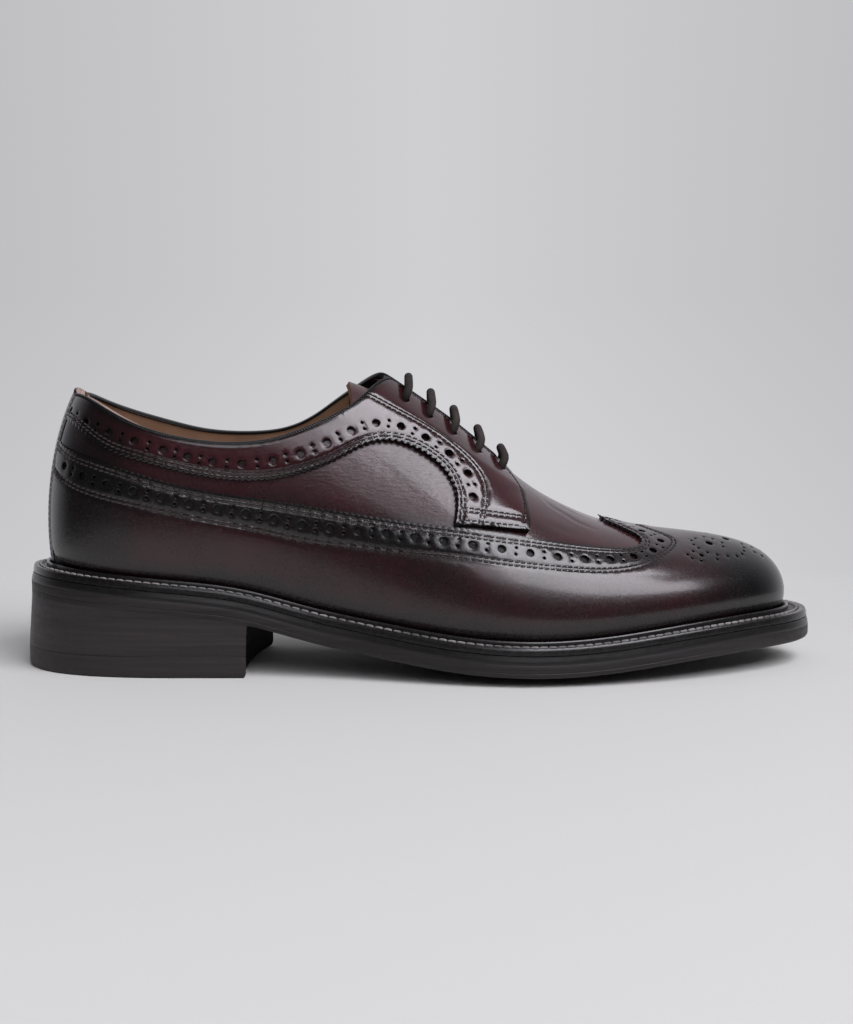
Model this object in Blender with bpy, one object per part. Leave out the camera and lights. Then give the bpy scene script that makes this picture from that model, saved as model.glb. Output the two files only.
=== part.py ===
"""Right brogue derby: welted sole, stacked heel, hollow upper, longwing, facings, laces.

Sizes are in millimetres and turn into metres in add_part. In the tables x runs from the
heel's back to the toe, y is negative on the lateral side and z is the height over the floor.
A station numbers the sections from 0 at the heel's back to 12 at the toe's tip. A rib is the
line up the upper's side at one station, and t runs along it from the welt to the ridge.
"""

import bmesh
import bpy
import numpy as np

MM = 0.001

# Sole and heel
OUTSOLE_THICK = 8.0
WELT_THICK = 2.7
WELT_LIP_HIGH = 4.1
WELT_LIP_WIDE = 1.5
WELT_LIP_FLAT = 0.9
WELT_RIM_INSET = 0.9
WELT_EDGE_INSET = 0.1
WELT_ROUND = 0.7
JOINT_LINE_Z = 4.6
JOINT_LINE_DEEP = 0.45
JOINT_LINE_HALF = 0.35
BEVEL = 1.2
INSOLE_THICK = 2.6
INSOLE_CLEAR = 0.6
TOP_LIFT_THICK = 8.0
HEEL_SIDE_TAPER = 1.3
HEEL_BACK_FLARE = 1.8
BREAST_LATERAL_X = 86.0
BREAST_MEDIAL_X = 90.5
BREAST_HOLLOW = 3.0
BREAST_LATERAL_STATION = 3.625
BREAST_MEDIAL_STATION = 3.765
HEEL_FLARE_STATION = 2.0
GAP = 0.3

# Upper
WALL_THICK = 2.0
OVERLAY_THICK = 1.2
BACKSTAY_THICK = 1.5
FACING_EXTRA = 1.5
FACING_GAP = 0.5
FACING_RISE_STATION = 4.4
FACING_RISE_STATIONS = 1.3
FACING_BULGE = 0.10
TONGUE_THICK = 2.0
BINDING_RADIUS = 1.45
BINDING_ABOVE = 2.0
BINDING_END_STATION = 5.15
BACKSTAY_STATION = 0.75
WING_BACK_STATION = 0.775
WING_PEAK_T = 0.955
THROAT_T = 0.91
THROAT_END_STATION = 7.05
FACING_TOP_STATION = 5.35
COLLAR_DROP_T = 0.036
OVERLAY_FOOT_T = 0.015

# Laces
LACE_RADIUS = 1.65
LACE_LIFT = 5.3
LACE_SIDES = 8

LAST_STATION = 12

# sole edge x, lateral y, medial y, upper's inset, belly, wall, shoulder, spine x
SECTION_ROWS = (
    (1.6, 0.0, 0.0, 10.0, 0.18, 0.40, 0.82, 42.0),
    (10.5, -20.5, 20.5, 8.9, 0.19, 0.40, 0.85, 44.0),
    (34.0, -33.5, 33.0, 7.6, 0.21, 0.40, 0.88, 52.0),
    (66.0, -36.2, 34.2, 7.8, 0.22, 0.40, 0.89, 72.0),
    (98.0, -36.5, 31.5, 7.8, 0.20, 0.42, 0.82, 100.0),
    (130.0, -41.0, 32.0, 8.0, 0.17, 0.44, 0.63, 130.0),
    (160.0, -48.5, 38.5, 8.8, 0.15, 0.46, 0.52, 157.0),
    (190.0, -53.0, 47.0, 9.3, 0.15, 0.50, 0.48, 182.0),
    (220.0, -49.5, 53.0, 9.5, 0.15, 0.56, 0.45, 200.0),
    (250.0, -41.0, 51.0, 9.8, 0.14, 0.66, 0.41, 211.0),
    (276.5, -27.5, 43.5, 10.3, 0.12, 0.82, 0.385, 217.5),
    (297.0, -11.5, 28.5, 10.8, 0.10, 0.97, 0.37, 221.2),
    (305.0, 8.5, 8.5, 11.0, 0.09, 1.03, 0.365, 222.0),
)

INSET, BELLY, WALL, SHOULDER, SPINE_X = range(5)

# x, height of the sole's lower edge, depth of the crown below that edge
PROFILE_ROWS = (
    (-5.0, 28.7, 0.0),
    (30.0, 26.2, 0.0),
    (60.0, 23.6, 0.0),
    (88.0, 19.9, 0.0),
    (110.0, 14.2, 0.6),
    (136.0, 9.0, 2.2),
    (160.0, 5.4, 4.0),
    (192.0, 3.4, 4.6),
    (220.0, 4.4, 4.6),
    (250.0, 7.4, 3.4),
    (280.0, 9.2, 1.8),
    (306.0, 9.7, 1.0),
)

# spine x, spine y, ridge height
RIDGE_ROWS = (
    (42.0, 0.0, 124.0),
    (60.0, 0.3, 130.5),
    (80.0, 0.6, 133.0),
    (100.0, 1.0, 130.5),
    (120.0, 1.7, 122.5),
    (138.0, 2.5, 111.5),
    (150.0, 3.0, 103.2),
    (166.0, 4.0, 91.5),
    (175.0, 4.6, 84.0),
    (183.0, 5.1, 77.4),
    (190.0, 5.5, 71.8),
    (197.0, 5.9, 66.8),
    (205.0, 6.3, 62.2),
    (214.0, 6.7, 57.9),
    (222.0, 7.0, 54.6),
    (230.0, 7.2, 52.2),
    (240.0, 7.4, 50.6),
)

# station, t of the lateral topline, t of the medial topline
COLLAR_ROWS = (
    (0.0, 0.667, 0.667),
    (0.9, 0.660, 0.661),
    (1.45, 0.626, 0.614),
    (2.05, 0.547, 0.545),
    (2.5, 0.484, 0.495),
    (2.9, 0.449, 0.461),
    (3.3, 0.433, 0.448),
    (3.65, 0.437, 0.453),
    (4.05, 0.469, 0.485),
    (4.4, 0.528, 0.556),
    (4.7, 0.598, 0.656),
    (4.95, 0.686, 0.762),
    (5.15, 0.800, 0.876),
    (5.4, 0.980, 1.050),
)

# station, t of the longwing's upper edge
WING_ROWS = (
    (0.0, 0.500),
    (0.6, 0.472),
    (1.12, 0.438),
    (1.6, 0.405),
    (2.02, 0.372),
    (2.58, 0.323),
    (3.05, 0.292),
    (3.53, 0.278),
    (4.3, 0.288),
    (4.98, 0.310),
    (5.8, 0.352),
    (6.68, 0.413),
    (7.58, 0.478),
    (8.4, 0.497),
    (8.7, 0.503),
    (8.97, 0.530),
    (9.18, 0.565),
    (9.35, 0.613),
    (9.5, 0.700),
    (9.7, 0.830),
    (10.0, 0.905),
    (10.8, 0.940),
    (12.0, 0.955),
)

# lower edge's station and t, upper edge's station, of the collar band and facing
BAND_ROWS = (
    (0.775, 0.548, 0.775),
    (1.1, 0.530, 1.1),
    (1.5, 0.492, 1.5),
    (2.0, 0.423, 2.0),
    (2.5, 0.372, 2.5),
    (3.0, 0.336, 3.0),
    (3.5, 0.320, 3.5),
    (4.0, 0.340, 4.0),
    (4.35, 0.381, 4.35),
    (4.7, 0.443, 4.7),
    (4.98, 0.510, 4.95),
    (5.25, 0.562, 5.15),
    (5.53, 0.590, 5.35),
    (5.83, 0.590, 5.75),
    (6.05, 0.560, 6.1),
    (6.15, 0.490, 6.4),
    (6.10, 0.378, 6.62),
    (6.35, 0.403, 6.74),
    (6.6, 0.428, 6.85),
    (6.87, 0.455, 6.94),
    (7.13, 0.480, 7.02),
)

# length of the tongue's free top past its last station, drop below a straight run, width
TONGUE_TOP_ROWS = (
    (24.0, 7.0, 0.86),
    (16.0, 3.1, 0.93),
    (8.0, 0.8, 0.98),
)
TONGUE_STATIONS = (5.7, 5.95, 6.2, 6.4, 6.6, 6.8, 7.05, 7.3)
TONGUE_DEPTH = 2.8
TONGUE_EDGE_T = 0.62

# station and t of each pair of eyelets
EYELET_ROWS = (
    (5.53, 0.790),
    (5.85, 0.780),
    (6.18, 0.772),
    (6.53, 0.772),
    (6.90, 0.790),
)

RIB_STATIONS = (
    0.0, 0.4, 0.775, 1.1, 1.5, 2.0, 2.5, 3.0, 3.5, 4.0, 4.35, 4.7, 4.95, 5.15, 5.35, 5.7, 5.95,
    6.2, 6.4, 6.6, 6.8, 7.05, 7.3, 7.6, 8.0, 8.4, 8.8, 9.15, 9.4, 9.6, 9.9, 10.3, 10.75, 11.2, 11.6, 12.0,
)
HEEL_STATIONS = (0.0, 0.4, 0.775, 1.1, 1.5, 2.0, 2.5, 3.0, 3.4)
LOW_ROWS = 7
HIGH_ROWS = 8
INNER_ROWS = 6
BAND_CELLS = 6
BREAST_CELLS = 6


def spline(xs, ys):
    """Natural cubic curve through the rows of a table."""
    xs = np.asarray(xs, float)
    ys = np.asarray(ys, float)
    count = len(xs)
    step = np.diff(xs)
    matrix = np.eye(count)
    bend = np.zeros(count)
    for i in range(1, count - 1):
        matrix[i, i - 1 : i + 2] = step[i - 1], 2 * (step[i - 1] + step[i]), step[i]
        bend[i] = 6 * ((ys[i + 1] - ys[i]) / step[i] - (ys[i] - ys[i - 1]) / step[i - 1])
    moment = np.linalg.solve(matrix, bend)

    def at(x):
        x = np.clip(np.asarray(x, float), xs[0], xs[-1])
        i = np.clip(np.searchsorted(xs, x, side="right") - 1, 0, count - 2)
        width = xs[i + 1] - xs[i]
        left = (xs[i + 1] - x) / width
        right = 1 - left
        curve = (left**3 - left) * moment[i] + (right**3 - right) * moment[i + 1]
        return left * ys[i] + right * ys[i + 1] + curve * width * width / 6

    return at


def closed_spline(points):
    """Closed cubic curve through evenly numbered points, u from 0 to 1."""
    points = np.asarray(points, float)
    count = len(points)
    one = np.eye(count)
    matrix = 4 * one + np.roll(one, 1, 1) + np.roll(one, -1, 1)
    bend = 6 * (np.roll(points, -1, 0) - 2 * points + np.roll(points, 1, 0))
    moment = np.linalg.solve(matrix, bend)

    def at(u):
        place = np.mod(np.asarray(u, float), 1) * count
        i = np.floor(place).astype(int) % count
        j = (i + 1) % count
        right = (place - np.floor(place))[..., None]
        left = 1 - right
        curve = (left**3 - left) * moment[i] + (right**3 - right) * moment[j]
        return left * points[i] + right * points[j] + curve / 6

    return at


sections = np.array(SECTION_ROWS)
lateral_points = sections[:, [0, 1]]
medial_points = sections[-2:0:-1, [0, 2]]
sole_edge = closed_spline(np.vstack([lateral_points, medial_points]))
section_at = closed_spline(np.vstack([sections[:, 3:], sections[-2:0:-1, 3:]]))
edge_z_at, crown_at = (
    spline(np.array(PROFILE_ROWS)[:, 0], np.array(PROFILE_ROWS)[:, column]) for column in (1, 2)
)
spine_y_at, ridge_at = (
    spline(np.array(RIDGE_ROWS)[:, 0], np.array(RIDGE_ROWS)[:, column]) for column in (1, 2)
)
lateral_collar_at, medial_collar_at = (
    spline(np.array(COLLAR_ROWS)[:, 0], np.array(COLLAR_ROWS)[:, column]) for column in (1, 2)
)
wing_t_at = spline(*np.array(WING_ROWS).T)


def lateral(station):
    """u of a station on the lateral side."""
    return np.asarray(station, float) / (2 * LAST_STATION)


def medial(station):
    """u of a station on the medial side."""
    return 1 - np.asarray(station, float) / (2 * LAST_STATION)


def station_of(u):
    u = np.mod(np.asarray(u, float), 1)
    return np.minimum(u, 1 - u) * 2 * LAST_STATION


def sole_inset(u, inset):
    """Sole outline moved inwards."""
    step = 1e-4
    along = sole_edge(np.asarray(u) + step) - sole_edge(np.asarray(u) - step)
    along /= np.linalg.norm(along, axis=-1, keepdims=True)
    inwards = np.stack([-along[..., 1], along[..., 0]], -1)
    return sole_edge(u) + inwards * np.asarray(inset)[..., None]


def spine(u):
    """Point on the ridge above the rib, and the ridge's slope there."""
    x = section_at(u)[..., SPINE_X]
    slope = ridge_at(x + 0.5) - ridge_at(x - 0.5)
    return np.stack([x, spine_y_at(x), ridge_at(x)], -1), slope


def seat_z(x):
    """Height at which the upper stands on the sole."""
    return edge_z_at(x) + OUTSOLE_THICK + GAP


def surface(u, t):
    """Skin of the upper: a rib runs from the welt, over its belly, to the ridge."""
    u, t = np.broadcast_arrays(np.asarray(u, float), np.asarray(t, float))
    section = section_at(u)
    foot = sole_inset(u, section[..., INSET])
    top, slope = spine(u)
    low = seat_z(foot[..., 0])
    rise = top[..., 2] - low
    reach = foot - top[..., :2]
    shoulder = section[..., SHOULDER]
    roof = 1 + slope * reach[..., 0] * shoulder / rise
    a = (1 - t) ** 3
    b = 3 * (1 - t) ** 2 * t
    c = 3 * (1 - t) * t**2
    out = a + b * (1 + section[..., BELLY]) + c * shoulder
    up = b * section[..., WALL] + c * roof + t**3
    plan = top[..., :2] + reach * out[..., None]
    return np.concatenate([plan, (low + rise * up)[..., None]], -1)


def normal(u, t):
    """Outward normal of the skin; on the ridge both sides share one."""
    u, t = np.broadcast_arrays(np.asarray(u, float), np.asarray(t, float))
    step = 1e-3
    inner = np.clip(t, 0, 1 - step)
    around = surface(u + step / 4, inner) - surface(u - step / 4, inner)
    upwards = surface(u, inner + step) - surface(u, np.maximum(inner - step, 0))
    found = np.cross(around, upwards)
    slope = spine(u)[1]
    crest = np.stack([-slope, np.zeros_like(slope), np.ones_like(slope)], -1)
    found = np.where((t > 1 - step)[..., None], crest, found)
    return found / np.linalg.norm(found, axis=-1, keepdims=True)


def skin(u, t, offset):
    """Skin moved outwards by an offset."""
    u, t, offset = np.broadcast_arrays(u, t, np.asarray(offset, float))
    return surface(u, t) + normal(u, t) * offset[..., None]


def top_t(u):
    """t of the upper's edge at collar, throat and, where it closes, the ridge."""
    station = station_of(u)
    is_lateral = np.mod(u, 1) <= 0.5
    collar = np.where(is_lateral, lateral_collar_at(station), medial_collar_at(station))
    edge = np.where(station < FACING_TOP_STATION, np.minimum(collar - COLLAR_DROP_T, THROAT_T), THROAT_T)
    return np.where(station > THROAT_END_STATION + 0.01, 1.0, edge)


def ribs(first=0.0):
    """u of every rib, lateral heel to toe and back along the medial side."""
    kept = [s for s in RIB_STATIONS if s >= first]
    back = kept[-2::-1] if first else kept[-2:0:-1]
    return np.concatenate([lateral(kept), medial(back)])


def weld(points, faces):
    """Equal points made one; collapsed faces and pairs of facing ones dropped."""
    points = np.asarray(points, float).reshape(-1, 3)
    _, first, index = np.unique(
        np.round(points, 4), axis=0, return_index=True, return_inverse=True
    )
    index = index.reshape(-1)
    kept = {}
    for face in faces:
        corners = [index[i] for i in face]
        corners = [c for i, c in enumerate(corners) if c != corners[i - 1]]
        if len(set(corners)) < 3:
            continue
        key = frozenset(corners)
        if kept.pop(key, None) is None:
            kept[key] = corners
    return points[first], list(kept.values())


def ring(rows, closed, rim=None):
    """Faces between rows of points that go all the way round; closed joins last row to first.

    The faces above row number rim stay whole, so that they cancel where the two sides meet.
    """
    rows = np.asarray(rows, float)
    count, around = rows.shape[:2]
    faces = []
    for j in range(count if closed else count - 1):
        above = (j + 1) % count
        for i in range(around):
            k = (i + 1) % around
            start = j * around + i
            end = above * around + k
            if j == rim:
                faces.append((start, j * around + k, end, above * around + i))
                continue
            faces.append((start, j * around + k, end))
            faces.append((start, end, above * around + i))
    return weld(rows, faces)


def slab(outer, inner):
    """Solid between two grids of points."""
    outer = np.asarray(outer, float)
    inner = np.asarray(inner, float)
    rows, columns = outer.shape[:2]
    size = rows * columns
    faces = []
    for i in range(rows - 1):
        for j in range(columns - 1):
            a = i * columns + j
            end = a + columns + 1
            for corners in ((a, a + 1, end), (a, end, a + columns)):
                faces.append(corners)
                faces.append(tuple(size + c for c in reversed(corners)))
    border = [(0, j) for j in range(columns)]
    border += [(i, columns - 1) for i in range(1, rows)]
    border += [(rows - 1, j) for j in range(columns - 2, -1, -1)]
    border += [(i, 0) for i in range(rows - 2, 0, -1)]
    marks = [i * columns + j for i, j in border]
    for n, a in enumerate(marks):
        b = marks[(n + 1) % len(marks)]
        faces.append((b, a, size + a, size + b))
    return weld(np.concatenate([outer.reshape(-1, 3), inner.reshape(-1, 3)]), faces)


def tube(path, radius, sides):
    """Round bar along a path."""
    path = np.asarray(path, float)
    along = np.gradient(path, axis=0)
    along /= np.linalg.norm(along, axis=1, keepdims=True)
    side = np.cross(along[0], (0.0, 0.0, 1.0))
    circles = []
    for point, way in zip(path, along):
        side = side - way * np.dot(side, way)
        side /= np.linalg.norm(side)
        other = np.cross(way, side)
        angle = np.arange(sides) * 2 * np.pi / sides
        circles.append(point + radius * (np.outer(np.cos(angle), side) + np.outer(np.sin(angle), other)))
    points = np.concatenate(circles)
    count = len(circles)
    faces = []
    for j in range(count - 1):
        for i in range(sides):
            k = (i + 1) % sides
            faces.append((j * sides + i, j * sides + k, (j + 1) * sides + k, (j + 1) * sides + i))
    faces.append(tuple(reversed(range(sides))))
    faces.append(tuple((count - 1) * sides + i for i in range(sides)))
    return points, faces


def floor_point(plan, height):
    return np.concatenate([plan, np.asarray(height)[..., None]], -1)


def outsole():
    u = ribs()
    edge = sole_edge(u)
    low = edge_z_at(edge[:, 0])
    middle = spine(u)[0][:, :2]

    def at(inset, height):
        return floor_point(sole_inset(u, np.full(len(u), inset)), low + height)

    def inside(share):
        plan = edge + (middle - edge) * share
        return plan, edge_z_at(plan[:, 0])

    rows = [floor_point(middle, edge_z_at(middle[:, 0]) + OUTSOLE_THICK)]
    rows.append(at(0.0, OUTSOLE_THICK))
    rows.append(at(0.0, JOINT_LINE_Z + JOINT_LINE_HALF))
    rows.append(at(JOINT_LINE_DEEP, JOINT_LINE_Z))
    rows.append(at(0.0, JOINT_LINE_Z - JOINT_LINE_HALF))
    rows.append(at(0.0, BEVEL))
    rows.append(at(BEVEL, 0.0))
    for share in (0.3, 0.6, 1.0):
        plan, height = inside(share)
        crown = crown_at(plan[:, 0]) * (1 - (1 - share) ** 2)
        rows.append(floor_point(plan, np.maximum(height - crown, 0.0)))
    return ring(rows, False)


def welt():
    u = ribs()
    clear = GAP + OVERLAY_THICK + GAP
    edge = sole_edge(u)
    low = edge_z_at(edge[:, 0]) + OUTSOLE_THICK + GAP
    lip_t = WELT_LIP_HIGH / (spine(u)[0][:, 2] - low) / (3 * section_at(u)[:, WALL])
    clear = np.where(station_of(u) < 1.0, GAP + BACKSTAY_THICK + 2 * GAP, clear)
    foot = skin(u, 0.0, clear)
    lip = skin(u, lip_t, clear)
    outwards = edge - foot[:, :2]
    outwards /= np.linalg.norm(outwards, axis=1, keepdims=True)
    foot[:, 2] = low
    lip[:, 2] = low + WELT_LIP_HIGH
    lip_out = floor_point(lip[:, :2] + outwards * WELT_LIP_FLAT, lip[:, 2])
    lip_foot = floor_point(lip[:, :2] + outwards * WELT_LIP_WIDE, low + WELT_THICK)
    rim = floor_point(sole_inset(u, np.full(len(u), WELT_RIM_INSET)), low + WELT_THICK)
    side = sole_inset(u, np.full(len(u), WELT_EDGE_INSET))
    shoulder = floor_point(side, low + WELT_THICK - WELT_ROUND)
    under = floor_point(side, low)
    return ring([foot, lip, lip_out, lip_foot, rim, shoulder, under], True)


def heel_grid(height, taper, flare):
    """Plan of the heel: across it from lateral to medial, from the back to the hollow breast."""
    across = np.linspace(0, 1, BREAST_CELLS + 1)
    rows = []
    for station in HEEL_STATIONS + (None,):
        if station is None:
            near = sole_inset(lateral(BREAST_LATERAL_STATION), taper)
            far = sole_inset(medial(BREAST_MEDIAL_STATION), taper)
            near[0] = BREAST_LATERAL_X
            far[0] = BREAST_MEDIAL_X
            hollow = BREAST_HOLLOW * 4 * across * (1 - across)
        else:
            share = min(1.0, station / HEEL_FLARE_STATION)
            inset = taper * share - flare * (1 - share)
            near = sole_inset(lateral(station), inset)
            far = sole_inset(medial(station), inset)
            hollow = 0 * across
        plan = near + (far - near) * across[:, None]
        plan[:, 0] -= hollow
        rows.append(floor_point(plan, height(plan[:, 0])))
    return np.array(rows)


def heel_stack():
    top = heel_grid(lambda x: edge_z_at(x) - GAP, GAP, 0.0)
    bottom = heel_grid(lambda x: np.full_like(x, TOP_LIFT_THICK + GAP), HEEL_SIDE_TAPER, HEEL_BACK_FLARE)
    return slab(top, bottom)


def top_lift():
    top = heel_grid(lambda x: np.full_like(x, TOP_LIFT_THICK), HEEL_SIDE_TAPER, HEEL_BACK_FLARE)
    bottom = heel_grid(lambda x: np.zeros_like(x), HEEL_SIDE_TAPER, HEEL_BACK_FLARE)
    return slab(top, bottom)


def insole():
    u = ribs()
    clear = WALL_THICK + INSOLE_CLEAR
    edge = sole_inset(u, section_at(u)[:, INSET] + clear)
    middle = spine(u)[0][:, :2]
    rows = [floor_point(middle, seat_z(middle[:, 0]) + INSOLE_THICK)]
    rows.append(floor_point(edge, seat_z(edge[:, 0]) + INSOLE_THICK))
    rows.append(floor_point(edge, seat_z(edge[:, 0])))
    rows.append(floor_point(middle, seat_z(middle[:, 0])))
    return ring(rows, False)


def upper():
    u = ribs()
    top = top_t(u)
    wing = np.minimum(wing_t_at(station_of(u)), top - 0.02)
    marks = [wing * k / LOW_ROWS for k in range(LOW_ROWS)]
    marks += [wing + (top - wing) * k / HIGH_ROWS for k in range(HIGH_ROWS + 1)]
    rows = [skin(u, t, 0.0) for t in marks]
    rows += [skin(u, top * k / INNER_ROWS, -WALL_THICK) for k in range(INNER_ROWS, -1, -1)]
    return ring(rows, True, rim=LOW_ROWS + HIGH_ROWS)


def wing():
    u = ribs(WING_BACK_STATION)
    edge = np.minimum(wing_t_at(station_of(u)), WING_PEAK_T)
    marks = [np.maximum(edge * k / LOW_ROWS, OVERLAY_FOOT_T) for k in range(LOW_ROWS + 1)]
    inner = [skin(u, t, GAP) for t in marks]
    outer = [skin(u, t, GAP + OVERLAY_THICK) for t in marks]
    return slab(outer, inner)


def band(side):
    """Collar band and lace facing of one side, one piece."""
    rows = np.array(BAND_ROWS)
    share = np.linspace(0, 1, BAND_CELLS + 1)
    top = top_t(side(rows[:, 2]))
    station = rows[:, [0]] + (rows[:, [2]] - rows[:, [0]]) * share
    t = rows[:, [1]] + (top[:, None] - rows[:, [1]]) * share
    bulge = np.zeros(len(rows))
    bulge[-1] = FACING_BULGE
    station = station + bulge[:, None] * 4 * share * (1 - share)
    ramp = np.clip((rows[:, [2]] - FACING_RISE_STATION) / FACING_RISE_STATIONS, 0, 1) * share
    inner = skin(side(station), t, FACING_GAP)
    outer = skin(side(station), t, FACING_GAP + OVERLAY_THICK + FACING_EXTRA * ramp)
    return slab(outer, inner)


def backstay():
    half = np.array([0.4, BACKSTAY_STATION])
    u = lateral(np.concatenate([-half[::-1], [0.0], half]))
    share = np.linspace(0, 1, 9)[:, None]
    t = np.maximum(top_t(np.abs(u)) * share, OVERLAY_FOOT_T)
    return slab(skin(u, t, GAP + BACKSTAY_THICK), skin(u, t, GAP))


def tongue():
    """Leather under the throat; its free top runs on past the facings and sinks a little."""
    t = np.linspace(TONGUE_EDGE_T, 1, 5)
    t = np.concatenate([t, t[-2::-1]])
    sides = [lateral] * 5 + [medial] * 4
    u = np.stack([side(TONGUE_STATIONS) for side in sides], 1)
    grids = []
    for depth in (TONGUE_DEPTH, TONGUE_DEPTH + TONGUE_THICK):
        held = skin(u, t, -depth)
        way = held[0, 4] - held[1, 4]
        way /= np.linalg.norm(way)
        free = []
        for length, drop, width in TONGUE_TOP_ROWS:
            row = held[0] + way * length
            row[:, 1] = row[4, 1] + (row[:, 1] - row[4, 1]) * width
            row[:, 2] -= drop
            free.append(row)
        grids.append(np.concatenate([free, held]))
    return slab(*grids)


def binding():
    """Bead along the collar, from one facing's top round the heel to the other's."""
    turn = [s for s in RIB_STATIONS if s <= BINDING_END_STATION]
    u = np.concatenate([lateral(turn[::-1]), medial(turn[1:])])
    edge = top_t(u)
    path = skin(u, edge, 0.0)
    along = np.gradient(path, axis=0)
    upwards = np.cross(normal(u, edge), along)
    upwards *= np.sign(upwards[:, [2]])
    upwards /= np.linalg.norm(upwards, axis=1, keepdims=True)
    return tube(path + upwards * BINDING_ABOVE, BINDING_RADIUS, 6)


def lace_bar(station, t):
    """Cord from a lateral eyelet over the throat to the medial one."""
    marks = np.linspace(t, THROAT_T, 4)
    near = skin(lateral(station), marks, LACE_LIFT)
    far = skin(medial(station), marks[::-1], LACE_LIFT)
    return tube(np.concatenate([near, far]), LACE_RADIUS, LACE_SIDES)


def add_part(name, shape, colour, roughness, shift):
    points, faces = shape
    mesh = bpy.data.meshes.new(name)
    mesh.from_pydata(((points - shift) * MM).tolist(), [], [list(map(int, f)) for f in faces])
    solid = bmesh.new()
    solid.from_mesh(mesh)
    bmesh.ops.recalc_face_normals(solid, faces=solid.faces)
    if solid.calc_volume(signed=True) < 0:
        bmesh.ops.reverse_faces(solid, faces=solid.faces)
    solid.to_mesh(mesh)
    solid.free()
    material = bpy.data.materials.new(name)
    material.use_nodes = True
    shader = material.node_tree.nodes["Principled BSDF"]
    shader.inputs["Base Color"].default_value = (*colour, 1.0)
    shader.inputs["Roughness"].default_value = roughness
    mesh.materials.append(material)
    bpy.context.scene.collection.objects.link(bpy.data.objects.new(name, mesh))


BURGUNDY = (0.075, 0.012, 0.016)
DARK_BURGUNDY = (0.035, 0.008, 0.010)
BLACK = (0.012, 0.011, 0.011)
TAN = (0.30, 0.17, 0.09)
GREY_BROWN = (0.10, 0.085, 0.075)

for leftover in list(bpy.data.objects):
    bpy.data.objects.remove(leftover)

parts = [
    ("outsole", outsole(), BLACK, 0.45),
    ("welt", welt(), BLACK, 0.5),
    ("heel_stack", heel_stack(), BLACK, 0.45),
    ("top_lift", top_lift(), BLACK, 0.6),
    ("insole", insole(), TAN, 0.6),
    ("upper", upper(), BURGUNDY, 0.3),
    ("tongue", tongue(), BURGUNDY, 0.4),
    ("longwing", wing(), DARK_BURGUNDY, 0.3),
    ("facing_lateral", band(lateral), BURGUNDY, 0.3),
    ("facing_medial", band(medial), BURGUNDY, 0.3),
    ("backstay", backstay(), DARK_BURGUNDY, 0.3),
    ("collar_binding", binding(), BLACK, 0.4),
]
for number, (station, t) in enumerate(EYELET_ROWS, 1):
    parts.append((f"lace_bar_{number}", lace_bar(station, t), GREY_BROWN, 0.7))

everything = np.concatenate([shape[0] for _, shape, _, _ in parts])
low_corner = everything.min(axis=0)
high_corner = everything.max(axis=0)
origin = (low_corner + high_corner) / 2
origin[2] = low_corner[2]
for name, shape, colour, roughness in parts:
    add_part(name, shape, colour, roughness, origin)
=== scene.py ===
"""Looks of the right brogue derby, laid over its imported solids.

Sizes are in millimetres and in the tables' own frame: x from the heel's back to the toe, y negative
on the lateral side, z over the floor. A mark is a place on the upper's skin, (station, t): stations
run from 0 at the heel's back along the lateral side to 12 at the toe and on along the medial side
to 24, and t runs up the rib from the welt to the ridge.
"""

import math

import bpy
import numpy as np
from mathutils import Matrix, kdtree
from mathutils.geometry import delaunay_2d_cdt


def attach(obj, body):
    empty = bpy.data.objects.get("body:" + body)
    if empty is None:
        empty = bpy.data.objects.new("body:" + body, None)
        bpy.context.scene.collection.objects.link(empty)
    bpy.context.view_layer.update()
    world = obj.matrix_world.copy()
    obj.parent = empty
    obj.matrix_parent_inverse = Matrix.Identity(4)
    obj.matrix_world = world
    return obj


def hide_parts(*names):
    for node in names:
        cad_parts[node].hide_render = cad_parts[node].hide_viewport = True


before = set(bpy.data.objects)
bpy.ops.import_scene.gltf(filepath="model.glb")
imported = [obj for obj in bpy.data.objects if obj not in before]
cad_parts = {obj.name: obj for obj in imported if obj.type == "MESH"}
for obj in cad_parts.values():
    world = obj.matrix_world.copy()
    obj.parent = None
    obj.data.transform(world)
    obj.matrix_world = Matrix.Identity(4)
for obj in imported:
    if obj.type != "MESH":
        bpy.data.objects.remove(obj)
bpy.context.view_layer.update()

MM = 0.001
ORIGIN = np.array([152.4, 0.031, 0.0])
AROUND = 24
LAST_STATION = 12

# Sole and heel
OUTSOLE_THICK = 8.0
WELT_THICK = 2.7
WELT_LIP_HIGH = 4.1
TOP_LIFT_THICK = 8.0
INSOLE_THICK = 2.6
HEEL_SIDE_TAPER = 1.3
HEEL_BACK_FLARE = 1.8
BREAST_LATERAL_X = 88.8
BREAST_MEDIAL_X = 91.8
BREAST_LEAN = 0.6
BREAST_HOLLOW = 3.0
HEEL_FLARE_STATION = 2.0
GAP = 0.3

# Upper
WALL_THICK = 2.0
OVERLAY_THICK = 1.2
FACING_EXTRA = 1.5
FACING_GAP = 0.5
BACKSTAY_THICK = 1.5
BACKSTAY_STATION = 0.75
WING_BACK_STATION = 0.755
THROAT_T = 0.91
THROAT_END_STATION = 7.05
THROAT_CLOSED_STATION = 7.06
FACING_TOP_STATIONS = (5.35, 5.65)
COLLAR_DROP_T = 0.020
CORNER_SHARPNESS = 45.0
FOOT_T = 0.012
BEAD_FRONT_STATION = 6.95
BEAD_THROAT_STATIONS = (4.9, 5.65)
HEEL_TURN = (-1.0, 0.4)

# Leather work
TOOTH_PITCH = 2.3
TOOTH_DEEP = 0.32
TOOTH_STEPS = 6
STITCH_PITCH = 2.2
STITCH_LONG = 1.8
STITCH_RADIUS = 0.26
STITCH_SUNK = 0.08
ROW_HALF = 0.72
LARGE_HOLE = 1.5
SMALL_HOLE = 0.58
PAIR_HALF = 1.28
EYELET_RADIUS = 1.55
LACE_RADIUS = 1.65

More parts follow.
